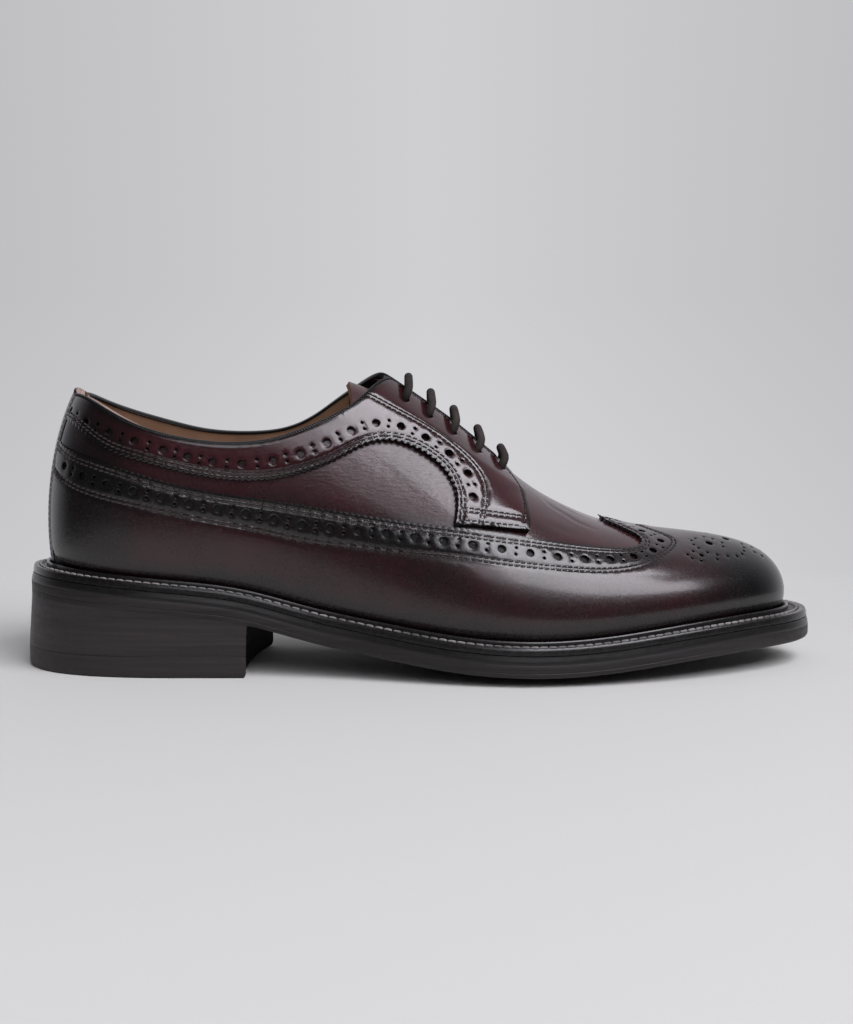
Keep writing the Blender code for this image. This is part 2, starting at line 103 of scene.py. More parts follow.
# sole edge x, lateral y, medial y, upper's inset, belly, wall, shoulder, spine x
SECTION_ROWS = (
    (1.6, 0.0, 0.0, 10.0, 0.18, 0.40, 0.82, 42.0),
    (10.5, -20.5, 20.5, 8.9, 0.19, 0.40, 0.85, 44.0),
    (34.0, -33.5, 33.0, 7.6, 0.21, 0.40, 0.88, 52.0),
    (66.0, -36.2, 34.2, 7.8, 0.22, 0.40, 0.89, 72.0),
    (98.0, -36.5, 31.5, 7.8, 0.20, 0.42, 0.82, 100.0),
    (130.0, -41.0, 32.0, 8.0, 0.17, 0.44, 0.63, 130.0),
    (160.0, -48.5, 38.5, 8.8, 0.15, 0.46, 0.52, 157.0),
    (190.0, -53.0, 47.0, 9.3, 0.15, 0.50, 0.48, 182.0),
    (220.0, -49.5, 53.0, 9.5, 0.15, 0.56, 0.45, 200.0),
    (250.0, -41.0, 51.0, 9.8, 0.14, 0.66, 0.41, 211.0),
    (276.5, -27.5, 43.5, 10.3, 0.12, 0.82, 0.385, 217.5),
    (297.0, -11.5, 28.5, 10.8, 0.10, 0.97, 0.37, 221.2),
    (305.0, 8.5, 8.5, 11.0, 0.09, 1.03, 0.365, 222.0),
)
INSET, BELLY, WALL, SHOULDER, SPINE_X = range(5)

# x, height of the sole's lower edge, depth of the crown below that edge
PROFILE_ROWS = (
    (-5.0, 28.7, 0.0),
    (30.0, 26.2, 0.0),
    (60.0, 23.6, 0.0),
    (88.0, 19.9, 0.0),
    (110.0, 14.2, 0.6),
    (136.0, 9.0, 2.2),
    (160.0, 5.4, 4.0),
    (192.0, 3.4, 4.6),
    (220.0, 4.4, 4.6),
    (250.0, 7.4, 3.4),
    (280.0, 9.2, 1.8),
    (306.0, 9.7, 1.0),
)

# spine x, spine y, ridge height
RIDGE_ROWS = (
    (42.0, 0.0, 124.0),
    (60.0, 0.3, 130.5),
    (80.0, 0.6, 133.0),
    (100.0, 1.0, 130.5),
    (120.0, 1.7, 122.5),
    (138.0, 2.5, 111.5),
    (150.0, 3.0, 103.2),
    (166.0, 4.0, 91.5),
    (175.0, 4.6, 84.0),
    (183.0, 5.1, 77.4),
    (190.0, 5.5, 71.8),
    (197.0, 5.9, 66.8),
    (205.0, 6.3, 62.2),
    (214.0, 6.7, 57.9),
    (222.0, 7.0, 54.6),
    (230.0, 7.2, 52.2),
    (240.0, 7.4, 50.6),
)

# station, t of the lateral topline, t of the medial topline
COLLAR_ROWS = (
    (0.0, 0.667, 0.667),
    (0.9, 0.660, 0.661),
    (1.45, 0.626, 0.614),
    (2.05, 0.547, 0.545),
    (2.5, 0.484, 0.495),
    (2.9, 0.449, 0.461),
    (3.3, 0.433, 0.448),
    (3.65, 0.437, 0.453),
    (4.05, 0.469, 0.485),
    (4.4, 0.528, 0.556),
    (4.7, 0.598, 0.656),
    (4.95, 0.686, 0.762),
    (5.15, 0.800, 0.876),
    (5.4, 0.980, 1.050),
)

# Marks of the longwing's gimped edge, of its row of holes and of its lower stitching
WING_EDGE = (
    (0.755, 0.462), (1.12, 0.438), (1.6, 0.405), (2.02, 0.372), (2.58, 0.323), (3.05, 0.292),
    (3.53, 0.278), (4.3, 0.288), (4.98, 0.310), (5.8, 0.352), (6.68, 0.413), (7.58, 0.478),
    (8.3, 0.494), (8.66, 0.500), (8.93, 0.522), (9.10, 0.554), (9.23, 0.597), (9.31, 0.652),
    (9.33, 0.715), (9.40, 0.785), (9.66, 0.868), (10.25, 0.935), (11.1, 0.972), (12.0, 0.983),
)
WING_HOLES = (
    (0.755, 0.412), (1.4, 0.360), (1.95, 0.317), (2.66, 0.272), (3.34, 0.242), (3.8, 0.236),
    (4.33, 0.241), (5.01, 0.270), (5.70, 0.304), (6.43, 0.343), (7.21, 0.389), (7.96, 0.415),
    (8.36, 0.424), (8.76, 0.446), (9.16, 0.486), (9.48, 0.538), (9.66, 0.600), (9.72, 0.672),
    (9.80, 0.748), (10.05, 0.823), (10.75, 0.880), (12.0, 0.905),
)
WING_SEAM = (
    (0.755, 0.362), (1.45, 0.311), (2.0, 0.273), (2.58, 0.240), (3.18, 0.213), (3.6, 0.203),
    (4.0, 0.201), (4.35, 0.205), (4.71, 0.217), (5.51, 0.250), (5.92, 0.272), (6.93, 0.322),
    (7.66, 0.352), (8.21, 0.360), (8.62, 0.380), (9.07, 0.430), (9.57, 0.502), (9.92, 0.566),
    (10.12, 0.640), (10.35, 0.715), (10.9, 0.785), (12.0, 0.828),
)

# Collar band and facing: the lower edge's station and t, the upper edge's station
BAND_ROWS = (
    (0.755, 0.548, 0.755),
    (1.1, 0.530, 1.1),
    (1.5, 0.492, 1.5),
    (2.0, 0.423, 2.0),
    (2.5, 0.372, 2.5),
    (3.0, 0.336, 3.0),
    (3.5, 0.320, 3.5),
    (4.0, 0.340, 4.0),
    (4.35, 0.381, 4.35),
    (4.7, 0.443, 4.7),
    (4.98, 0.510, 4.95),
    (5.25, 0.562, 5.15),
    (5.53, 0.590, 5.35),
    (5.83, 0.590, 5.75),
    (6.05, 0.560, 6.1),
    (6.15, 0.490, 6.4),
    (6.10, 0.378, 6.62),
    (6.35, 0.403, 6.74),
    (6.6, 0.428, 6.85),
    (6.87, 0.455, 6.94),
    (7.13, 0.480, 7.02),
)
BAND_CORNER = 16
WING_PEAK = 13
WING_SEAM_FRONT = 15
BAND_HOLES = (
    (0.9, 0.577), (1.59, 0.516), (2.05, 0.467), (2.41, 0.429), (2.76, 0.397), (3.04, 0.376),
    (3.32, 0.363), (3.65, 0.363), (3.99, 0.385), (4.29, 0.422), (4.58, 0.476), (4.85, 0.541),
    (5.14, 0.606), (5.45, 0.643), (5.77, 0.652), (6.08, 0.640), (6.32, 0.600), (6.37, 0.514),
)
FACING_SEAM = (
    (5.02, 0.702), (5.44, 0.704), (5.84, 0.704), (6.14, 0.688), (6.38, 0.660), (6.52, 0.616),
    (6.55, 0.558), (6.50, 0.476), (6.44, 0.412),
)
FOOT_SEAM = ((6.22, 0.442), (6.66, 0.487), (7.09, 0.530))
FOOT_EDGE_SEAM = ((6.17, 0.399), (6.6, 0.441), (7.06, 0.486))
FRONT_SEAM = ((7.05, 0.50), (7.11, 0.60), (7.10, 0.70), (7.02, 0.80), (6.90, 0.872))
THROAT_SEAM = ((6.90, 0.872), (6.4, 0.882), (5.9, 0.884), (5.45, 0.882))
EYELETS = ((5.53, 0.800), (5.85, 0.790), (6.18, 0.782), (6.53, 0.782), (6.90, 0.796))

# Toe medallion: station, t, radius
MEDALLION = (
    (10.51, 0.488, 1.5), (11.45, 0.480, 1.5), (9.85, 0.402, 0.9),
    (10.55, 0.553, 0.6), (10.28, 0.537, 0.6), (10.08, 0.495, 0.6), (10.03, 0.460, 0.6),
    (9.81, 0.440, 0.6), (9.62, 0.421, 0.6), (9.62, 0.392, 0.6), (9.72, 0.366, 0.6),
    (10.04, 0.415, 0.6), (10.15, 0.385, 0.6), (10.03, 0.355, 0.6), (10.85, 0.466, 0.6),
    (10.60, 0.435, 0.6), (10.31, 0.363, 0.6), (10.50, 0.348, 0.6), (10.70, 0.352, 0.6),
    (10.90, 0.367, 0.6), (11.13, 0.385, 0.6), (11.40, 0.407, 0.6), (11.20, 0.335, 0.6),
    (11.56, 0.363, 0.6), (11.28, 0.298, 0.6), (11.74, 0.318, 0.6), (10.96, 0.515, 0.6),
    (10.95, 0.550, 0.6), (12.0, 0.560, 0.9),
)

# Creases: marks along each, depth and half width
CREASES = (
    (
        ((7.70, 0.86), (7.82, 0.77), (7.99, 0.745), (8.18, 0.695), (8.37, 0.675), (8.55, 0.652)),
        0.20,
        1.1,
    ),
    (((7.95, 0.93), (8.15, 0.86), (8.45, 0.81), (8.75, 0.785)), 0.12, 1.3),
    (((7.35, 0.60), (7.7, 0.585), (8.1, 0.575)), 0.07, 1.6),
)


def spline(xs, ys):
    """Natural cubic curve through the rows of a table."""
    xs = np.asarray(xs, float)
    ys = np.asarray(ys, float)
    count = len(xs)
    step = np.diff(xs)
    matrix = np.eye(count)
    bend = np.zeros(count)
    for i in range(1, count - 1):
        matrix[i, i - 1 : i + 2] = step[i - 1], 2 * (step[i - 1] + step[i]), step[i]
        bend[i] = 6 * ((ys[i + 1] - ys[i]) / step[i] - (ys[i] - ys[i - 1]) / step[i - 1])
    moment = np.linalg.solve(matrix, bend)

    def at(x):
        x = np.clip(np.asarray(x, float), xs[0], xs[-1])
        i = np.clip(np.searchsorted(xs, x, side="right") - 1, 0, count - 2)
        width = xs[i + 1] - xs[i]
        left = (xs[i + 1] - x) / width
        right = 1 - left
        curve = (left**3 - left) * moment[i] + (right**3 - right) * moment[i + 1]
        return left * ys[i] + right * ys[i + 1] + curve * width * width / 6

    return at


def closed_spline(points):
    """Closed cubic curve through evenly numbered points, u from 0 to 1."""
    points = np.asarray(points, float)
    count = len(points)
    one = np.eye(count)
    matrix = 4 * one + np.roll(one, 1, 1) + np.roll(one, -1, 1)
    bend = 6 * (np.roll(points, -1, 0) - 2 * points + np.roll(points, 1, 0))
    moment = np.linalg.solve(matrix, bend)

    def at(u):
        place = np.mod(np.asarray(u, float), 1) * count
        i = np.floor(place).astype(int) % count
        j = (i + 1) % count
        right = (place - np.floor(place))[..., None]
        left = 1 - right
        curve = (left**3 - left) * moment[i] + (right**3 - right) * moment[j]
        return left * points[i] + right * points[j] + curve / 6

    return at


def table_curves(rows):
    """A curve over a table's first column for each of the others."""
    first, *others = np.array(rows).T
    return [spline(first, column) for column in others]


sections = np.array(SECTION_ROWS)
sole_edge = closed_spline(np.vstack([sections[:, [0, 1]], sections[-2:0:-1, [0, 2]]]))
section_at = closed_spline(np.vstack([sections[:, 3:], sections[-2:0:-1, 3:]]))
edge_z_at, crown_at = table_curves(PROFILE_ROWS)
spine_y_at, ridge_at = table_curves(RIDGE_ROWS)
lateral_collar_at, medial_collar_at = table_curves(COLLAR_ROWS)

SKIN_STEP = 1e-3
RIB_STEP = 6e-3
EDGE_STEP = 1e-4
RIDGE_STEP = 0.5
TRAIL_STEP = 0.4
TRAIL_FINE = 4
TRAIL_LEAST = 60
WELD_DIGITS = 4
SHARP_ANGLE = 38
SHELL_SHARP_ANGLE = 60


def smooth(value, low, high):
    """0 below low, 1 above high, with a soft step between."""
    x = np.clip((np.asarray(value, float) - low) / (high - low), 0, 1)
    return x * x * (3 - 2 * x)


def lengths(points):
    """Length run so far along a line of points."""
    return np.concatenate([[0], np.cumsum(np.linalg.norm(np.diff(points, axis=0), axis=1))])


def hill(offset, half):
    """1 at no offset, falling off softly to both sides."""
    return np.exp(-((offset / half) ** 2))


def unit(vector):
    """Vectors at length 1."""
    return vector / np.linalg.norm(vector, axis=-1, keepdims=True)


def station_of(w):
    w = np.mod(np.asarray(w, float), AROUND)
    return np.minimum(w, AROUND - w)


def sole_inset(w, inset):
    """Sole outline moved inwards."""
    u = np.asarray(w, float) / AROUND
    along = unit(sole_edge(u + EDGE_STEP) - sole_edge(u - EDGE_STEP))
    inwards = np.stack([-along[..., 1], along[..., 0]], -1)
    return sole_edge(u) + inwards * np.asarray(inset, float)[..., None]


def spine(w):
    """Point on the ridge above the rib, and the ridge's slope there."""
    x = section_at(np.asarray(w, float) / AROUND)[..., SPINE_X]
    slope = ridge_at(x + RIDGE_STEP) - ridge_at(x - RIDGE_STEP)
    return np.stack([x, spine_y_at(x), ridge_at(x)], -1), slope


def seat_z(x):
    """Height at which the upper stands on the sole."""
    return edge_z_at(x) + OUTSOLE_THICK + GAP


def surface(w, t):
    """Skin of the upper: a rib runs from the welt, over its belly, to the ridge."""
    w, t = np.broadcast_arrays(np.asarray(w, float), np.asarray(t, float))
    section = section_at(w / AROUND)
    foot = sole_inset(w, section[..., INSET])
    top, slope = spine(w)
    low = seat_z(foot[..., 0])
    rise = top[..., 2] - low
    reach = foot - top[..., :2]
    shoulder = section[..., SHOULDER]
    roof = 1 + slope * reach[..., 0] * shoulder / rise
    a = (1 - t) ** 3
    b = 3 * (1 - t) ** 2 * t
    c = 3 * (1 - t) * t**2
    out = a + b * (1 + section[..., BELLY]) + c * shoulder
    up = b * section[..., WALL] + c * roof + t**3
    plan = top[..., :2] + reach * out[..., None]
    return np.concatenate([plan, (low + rise * up)[..., None]], -1)


def normal(w, t):
    """Outward normal of the skin; on the ridge both sides share one."""
    w, t = np.broadcast_arrays(np.asarray(w, float), np.asarray(t, float))
    inner = np.clip(t, 0, 1 - SKIN_STEP)
    around = surface(w + RIB_STEP, inner) - surface(w - RIB_STEP, inner)
    upwards = surface(w, inner + SKIN_STEP) - surface(w, np.maximum(inner - SKIN_STEP, 0))
    found = np.cross(around, upwards)
    slope = spine(w)[1]
    crest = np.stack([-slope, np.zeros_like(slope), np.ones_like(slope)], -1)
    return unit(np.where((t > 1 - SKIN_STEP)[..., None], crest, found))


def skin(marks, offset=0.0):
    """Points over marks, moved outwards by an offset."""
    marks = np.asarray(marks, float)
    w, t = marks[..., 0], marks[..., 1]
    offset = np.broadcast_to(np.asarray(offset, float), w.shape)
    return surface(w, t) + normal(w, t) * offset[..., None]


def top_t(w):
    """t of the upper's edge at collar, throat and, where it closes, the ridge."""
    station = station_of(w)
    is_lateral = np.mod(w, AROUND) <= LAST_STATION
    collar = np.where(is_lateral, lateral_collar_at(station), medial_collar_at(station))
    collar = np.exp(-CORNER_SHARPNESS * (collar - COLLAR_DROP_T))
    rounded = -np.log(collar + np.exp(-CORNER_SHARPNESS * THROAT_T)) / CORNER_SHARPNESS
    edge = rounded + (THROAT_T - rounded) * smooth(station, *FACING_TOP_STATIONS)
    return np.where(station > THROAT_CLOSED_STATION, 1.0, edge)


def moved(marks, way):
    """Marks moved along the skin by vectors that lie in it."""
    step = SKIN_STEP
    w, t = marks[..., 0], np.clip(marks[..., 1], 2 * step, 1 - 2 * step)
    by_w = (surface(w + step, t) - surface(w - step, t)) / (2 * step)
    by_t = (surface(w, t + step) - surface(w, t - step)) / (2 * step)
    a, b, c = ((p * q).sum(-1) for p, q in ((by_w, by_w), (by_w, by_t), (by_t, by_t)))
    p, q = (by_w * way).sum(-1), (by_t * way).sum(-1)
    size = a * c - b * b
    return marks + np.stack([(c * p - b * q) / size, (a * q - b * p) / size], -1)


def flat(marks):
    """Skin laid out flat, ribs spread like a fan from the ridge."""
    w, t = marks[..., 0], marks[..., 1]
    foot = sole_inset(w, section_at(w / AROUND)[..., INSET])
    top = spine(w)[0]
    rise = top[..., 2] - seat_z(foot[..., 0])
    reach = foot - top[..., :2]
    length = np.hypot(np.linalg.norm(reach, axis=-1), rise)
    return top[..., :2] + unit(reach) * (length * (1 - t))[..., None]


class Trail:
    """Smooth curve on the skin through marks, measured in millimetres."""

    def __init__(self, marks):
        marks = np.asarray(marks, float)
        chord = lengths(skin(marks))
        self.curve = [spline(chord, column) for column in marks.T]
        self.fine = np.linspace(0, chord[-1], max(TRAIL_LEAST, int(chord[-1] * TRAIL_FINE)))
        self.arc = lengths(skin(self.marks_at(self.fine)))
        self.length = self.arc[-1]
        self.knots = np.interp(chord, self.fine, self.arc)

    def marks_at(self, k):
        return np.stack([curve(k) for curve in self.curve], -1)

    def at(self, s):
        return self.marks_at(np.interp(s, self.arc, self.fine))

    def frame(self, s):
        """Marks at s with the directions along the curve and to its left, in the skin."""
        marks = self.at(s)
        ahead = np.minimum(np.asarray(s) + TRAIL_STEP, self.length)
        behind = np.maximum(np.asarray(s) - TRAIL_STEP, 0)
        along = unit(skin(self.at(ahead)) - skin(self.at(behind)))
        return marks, along, np.cross(normal(marks[..., 0], marks[..., 1]), along)

    def beside(self, s, left):
        marks, _, side = self.frame(s)
        return moved(marks, side * np.broadcast_to(left, np.shape(s))[..., None])

    def steps(self, pitch):
        return np.linspace(0, self.length, max(2, int(round(self.length / pitch)) + 1))


def mirrored(marks):
    """The same marks on the medial side."""
    marks = np.array(marks, float)
    marks[..., 0] = AROUND - marks[..., 0]
    return marks


def both_sides(marks):
    """Lateral marks that end on the toe's centre line, carried on to the medial side."""
    return np.concatenate([marks, mirrored(marks)[-2::-1]])


def teeth(s):
    """Gimped edge's stand-off from its middle line."""
    return TOOTH_DEEP * (2 * np.abs(np.sin(math.pi * np.asarray(s) / TOOTH_PITCH)) - 1)


def distance(points, samples):
    """Distance of each point to the nearest sample."""
    tree = kdtree.KDTree(len(samples))
    for i, sample in enumerate(samples.tolist()):
        tree.insert(sample, i)
    tree.balance()
    return np.array([tree.find(point)[2] for point in points.tolist()])


def weld(points, faces):
    """Equal points made one."""
    _, first, index = np.unique(
        np.round(points, WELD_DIGITS), axis=0, return_index=True, return_inverse=True
    )
    return points[first], [index.reshape(-1)[face] for face in faces], first


def grid_faces(rows, columns, closed=False, first=0):
    """Quads over a grid of points numbered row by row; closed joins the last column to the first."""
    across = np.arange(columns if closed else columns - 1)
    i, j = np.meshgrid(np.arange(rows - 1), across, indexing="ij")
    k = (j + 1) % columns
    corners = [i * columns + j, i * columns + k, (i + 1) * columns + k, (i + 1) * columns + j]
    return np.stack([c.ravel() for c in corners], 1) + first


def add_mesh(name, points, faces, materials, nodes=(), values=None, kinds=None,
             sharp=SHARP_ANGLE):
    """Object from points in millimetres; values are point attributes, kinds the faces' materials."""
    mesh = bpy.data.meshes.new(name)
    mesh.vertices.add(len(points))
    mesh.vertices.foreach_set("co", ((points - ORIGIN) * MM).astype(np.float32).ravel())
    corners = np.concatenate([face.ravel() for face in faces])
    sizes = np.concatenate([np.full(len(face), face.shape[1]) for face in faces])
    mesh.loops.add(len(corners))
    mesh.loops.foreach_set("vertex_index", corners.astype(np.int32))
    mesh.polygons.add(len(sizes))
    starts = np.concatenate([[0], np.cumsum(sizes)[:-1]])
    mesh.polygons.foreach_set("loop_start", starts.astype(np.int32))
    for material in materials:
        mesh.materials.append(material)
    if kinds is not None:
        mesh.polygons.foreach_set("material_index", np.asarray(kinds, np.int32))
    for key, value in (values or {}).items():
        attribute = mesh.attributes.new(key, "FLOAT", "POINT")
        attribute.data.foreach_set("value", np.asarray(value, np.float32))
    mesh.update(calc_edges=True)
    mesh.validate()
    mesh.shade_smooth()
    mesh.set_sharp_from_angle(angle=math.radians(sharp))
    piece = bpy.data.objects.new(name, mesh)
    bpy.context.scene.collection.objects.link(piece)
    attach(piece, "root")
    if nodes:
        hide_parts(*nodes)


class Graph:
    """Node tree whose nodes are added one call at a time."""

    def __init__(self, tree):
        self.tree = tree

    def put(self, socket, value):
        if isinstance(value, bpy.types.NodeSocket):
            self.tree.links.new(value, socket)
        else:
            socket.default_value = value

    def add(self, kind, values=None, **settings):
        node = self.tree.nodes.new("ShaderNode" + kind)
        for key, value in settings.items():
            setattr(node, key, value)
        for key, value in (values or {}).items():
            self.put(node.inputs[key], value)
        return node

    def math(self, operation, a, b=0.0, clamp=False):
        return self.add("Math", {0: a, 1: b}, operation=operation, use_clamp=clamp).outputs[0]

    def span(self, value, low, high, to_low, to_high):
        values = {"Value": value, "From Min": low, "From Max": high, "To Min": to_low, "To Max": to_high}
        return self.add("MapRange", values).outputs["Result"]

    def blend(self, share, a, b):
        """Mix of two numbers."""
        return self.add("Mix", {0: share, 2: a, 3: b}).outputs[0]

    def mix(self, share, a, b):
        """Mix of two colours."""
        return self.add("Mix", {0: share, 6: a, 7: b}, data_type="RGBA").outputs[2]


# Part of a noise's range that patterns use
NOISE_SPAN = (0.3, 0.7)


class Shade(Graph):
    """Principled material."""

    def __init__(self, name, **values):
        self.material = bpy.data.materials.new(name)
        self.material.use_nodes = True
        super().__init__(self.material.node_tree)
        self.shader = self.tree.nodes["Principled BSDF"]
        self.set(**values)
        self.place = self.add("TexCoord").outputs["Object"]

    def set(self, **values):
        for key, value in values.items():
            self.put(self.shader.inputs[key.replace("_", " ")], value)

    def noise(self, scale, detail=3.0, roughness=0.5, stretch=(1, 1, 1)):
        place = self.add("Mapping", {"Vector": self.place, "Scale": stretch}).outputs["Vector"]
        values = {"Vector": place, "Scale": scale, "Detail": detail, "Roughness": roughness}
        return self.add("TexNoise", values).outputs["Fac"]

    def uneven(self, pattern, rough, vary, span=NOISE_SPAN):
        """Roughness that varies with a pattern, down and up by two amounts."""
        return self.span(pattern, *span, rough + vary[0], rough + vary[1])

    def value(self, name):
        """A value that the mesh holds at its points."""
        return self.add("Attribute", attribute_name=name).outputs["Fac"]

    def ramp(self, share, *stops):
        node = self.add("ValToRGB", {"Fac": share})
        elements = node.color_ramp.elements
        while len(elements) < len(stops):
            elements.new(0.5)
        for element, (place, colour) in zip(elements, stops):
            element.position = place
            element.color = (*colour, 1.0)
        return node.outputs["Color"]

    def bump(self, *layers):
        """Bump from (height, strength, distance in metres) layers, one over another."""
        below = None
        for height, strength, deep in layers:
            values = {"Height": height, "Strength": strength, "Distance": deep}
            if below is not None:
                values["Normal"] = below
            below = self.add("Bump", values).outputs["Normal"]
        self.put(self.shader.inputs["Normal"], below)


BLACK = (0.0022, 0.0019, 0.0019)
OXBLOOD = (0.0075, 0.0026, 0.0031)
BURGUNDY = (0.0215, 0.0049, 0.0063)
CHERRY = (0.0390, 0.0092, 0.0120)
CALF_STOPS = ((0.0, CHERRY), (0.3, BURGUNDY), (0.62, OXBLOOD), (0.95, BLACK))

# Noises: scale per metre, detail, roughness, stretch
CALF_CLOUD = (38.0, 3.0, 0.55)
CALF_STREAK = (160.0, 4.0, 0.6)
CALF_UNEVEN = (60.0, 2.0)
CALF_FOLDS = (330.0, 4.0, 0.62, (1.0, 1.0, 2.6))
CALF_GRAIN = (900.0, 3.0, 0.55)
CALF_PORES_SCALE = 1500.0
EDGE_LINES = (1.0, 5.0, 0.7, (22.0, 22.0, 900.0))
EDGE_BANDS = (1.0, 2.0, 0.5, (14.0, 14.0, 210.0))
EDGE_SPECKS = (420.0, 3.0, 0.6)
PLAIN_CLOUD = (70.0, 4.0, 0.6)
PLAIN_GRAIN = (1400.0, 3.0, 0.6)
THREAD_TWIST = (2600.0, 2.0, 0.5)
THREAD_TONE = (120.0, 2.0, 0.5)

# Bumps: strength, depth in metres
CALF_UNEVEN_BUMP = (0.25, 0.00035)
CALF_FOLDS_BUMP = (0.55, 0.0004)
CALF_PORES_BUMP = (0.10, 0.00006)
CALF_GRAIN_BUMP = (0.16, 0.00008)
EDGE_BANDS_BUMP = (0.3, 0.0003)
EDGE_LINES_BUMP = (0.4, 0.00015)
EDGE_SPECKS_BUMP = (0.12, 0.00008)
PLAIN_CLOUD_BUMP = (0.2, 0.0004)
PLAIN_GRAIN_BUMP = (0.25, 0.0001)
THREAD_BUMP = (0.4, 0.0001)

# Roughness: how far it varies down and up
CALF_VARY = (-0.05, 0.06)
CALF_VARY_SPAN = (0.7, 1.3)
CALF_WRINKLE_ROUGH = 0.06
EDGE_VARY = (-0.06, 0.1)
PLAIN_VARY = (-0.07, 0.1)
THREAD_VARY = (-0.1, 0.1)

# Tones: how far clouds and streaks go either way, and from a noise's range to a share
CALF_CLOUD_TONE = 0.14
CALF_STREAK_TONE = 0.06
CALF_WAX_AND_SHADE_TONE = (0.35, 0.6, 0.75, 1.0)
EDGE_LINES_TONE = (0.35, 0.75, 0.0, 0.6)
EDGE_BANDS_TONE = (0.4, 0.7, 0.0, 0.4)
THREAD_STOPS = (0.35, 0.65)


def leather(name, lift=0.0, rough=0.245):
    """Burnished calf: burgundy darkened by polish and painted shade, black where the mesh says so for waxed
    edges and painted shade, with fine grain and wrinkles.
    """
    shade = Shade(name, Coat_Weight=0.3, Coat_Roughness=0.12, Specular_IOR_Level=0.5)
    cloud = shade.noise(*CALF_CLOUD)
    streak = shade.noise(*CALF_STREAK)
    clouds = shade.span(cloud, *NOISE_SPAN, -CALF_CLOUD_TONE, CALF_CLOUD_TONE)
    streaks = shade.span(streak, *NOISE_SPAN, -CALF_STREAK_TONE, CALF_STREAK_TONE)
    patina = shade.math("ADD", clouds, streaks)
    dark = shade.math("ADD", shade.math("ADD", shade.value("burnish"), patina), -lift)
    colour = shade.ramp(dark, *CALF_STOPS)
    # Share of black: waxed cut edges, with painted shade in grooves, holes and under the wing
    black_wax_and_shade = shade.math("MULTIPLY", shade.value("edge"), shade.span(streak, *CALF_WAX_AND_SHADE_TONE), clamp=True)
    shade.set(Base_Color=shade.mix(black_wax_and_shade, colour, (*BLACK, 1.0)))
    pores = shade.add(
        "TexVoronoi", {"Vector": shade.place, "Scale": CALF_PORES_SCALE}, feature="SMOOTH_F1"
    )
    grain = shade.noise(*CALF_GRAIN)
    folds = shade.noise(*CALF_FOLDS)
    wrinkle = shade.math("MULTIPLY", folds, shade.value("wrinkle"))
    matt = shade.uneven(shade.math("ADD", grain, cloud), rough, CALF_VARY, CALF_VARY_SPAN)
    creased = shade.math("MULTIPLY", shade.value("wrinkle"), CALF_WRINKLE_ROUGH)
    shade.set(Roughness=shade.math("ADD", matt, creased))
    shade.bump(
        (shade.noise(*CALF_UNEVEN), *CALF_UNEVEN_BUMP),
        (wrinkle, *CALF_FOLDS_BUMP),
        (pores.outputs["Distance"], *CALF_PORES_BUMP),
        (grain, *CALF_GRAIN_BUMP),
    )
    return shade.material


def edge_leather(name, colour, scratch, rough, coat=0.12, gloss=0.3):
    """Waxed black edge of sole or heel, with fine lines along it."""
    shade = Shade(name, Specular_IOR_Level=gloss, Coat_Weight=coat, Coat_Roughness=0.3)
    line, band, speck = (shade.noise(*noise) for noise in (EDGE_LINES, EDGE_BANDS, EDGE_SPECKS))
    light = shade.math("ADD", shade.span(line, *EDGE_LINES_TONE), shade.span(band, *EDGE_BANDS_TONE))
    shade.set(Base_Color=shade.mix(light, (*colour, 1.0), (*scratch, 1.0)))
    shade.set(Roughness=shade.uneven(speck, rough, EDGE_VARY))
    shade.bump((band, *EDGE_BANDS_BUMP), (line, *EDGE_LINES_BUMP), (speck, *EDGE_SPECKS_BUMP))
    return shade.material


def plain_leather(name, light, dark, rough, gloss=0.35):
    """Undyed or dyed leather with soft grain, for lining, sock and binding."""
    shade = Shade(name, Specular_IOR_Level=gloss)
    cloud = shade.noise(*PLAIN_CLOUD)
    grain = shade.noise(*PLAIN_GRAIN)
    shade.set(Base_Color=shade.ramp(cloud, *zip(NOISE_SPAN, (dark, light))))
    shade.set(Roughness=shade.uneven(grain, rough, PLAIN_VARY))
    shade.bump((cloud, *PLAIN_CLOUD_BUMP), (grain, *PLAIN_GRAIN_BUMP))
    return shade.material


def thread(name, light, dark, rough, gloss=0.5):
    """Waxed thread: twisted strands."""
    shade = Shade(name, Specular_IOR_Level=gloss)
    twist = shade.noise(*THREAD_TWIST)
    tone = shade.noise(*THREAD_TONE)
    shade.set(Base_Color=shade.ramp(tone, *zip(THREAD_STOPS, (dark, light))))
    shade.set(Roughness=shade.uneven(twist, rough, THREAD_VARY))
    shade.bump((twist, *THREAD_BUMP))
    return shade.material


# Calf: how much lighter than burnished, roughness
UPPER_LEATHER = leather("burgundy_calf", 0.12)
BAND_LEATHER = leather("band_calf", 0.05, 0.18)
WING_LEATHER = leather("burnished_calf", -0.13)
BACK_LEATHER = leather("backstay_calf", 0.1)
TONGUE_LEATHER = leather("tongue_calf", 0.2, 0.36)
# Plain leather: light and dark colour, roughness, gloss
BINDING_LEATHER = plain_leather("binding_calf", (0.004, 0.0034, 0.0034), (0.0024, 0.002, 0.002), 0.3, 0.14)
LINING = plain_leather("lining_leather", (0.27, 0.15, 0.088), (0.19, 0.104, 0.06), 0.62)
# Black facing lining, also laid under the longwing as painted shade on the floors of its holes
FACING_LINING_AND_HOLE_SHADE = plain_leather("facing_lining", (0.006, 0.005, 0.005), (0.003, 0.0025, 0.0025), 0.55)
TIP_LEATHER = plain_leather("tip_leather", (0.34, 0.25, 0.22), (0.22, 0.15, 0.13), 0.5)
SOCK = plain_leather("sock_leather", (0.17, 0.1, 0.056), (0.12, 0.067, 0.037), 0.6)
CUT_EDGE = plain_leather("cut_edge", (0.2, 0.09, 0.043), (0.13, 0.057, 0.027), 0.65)
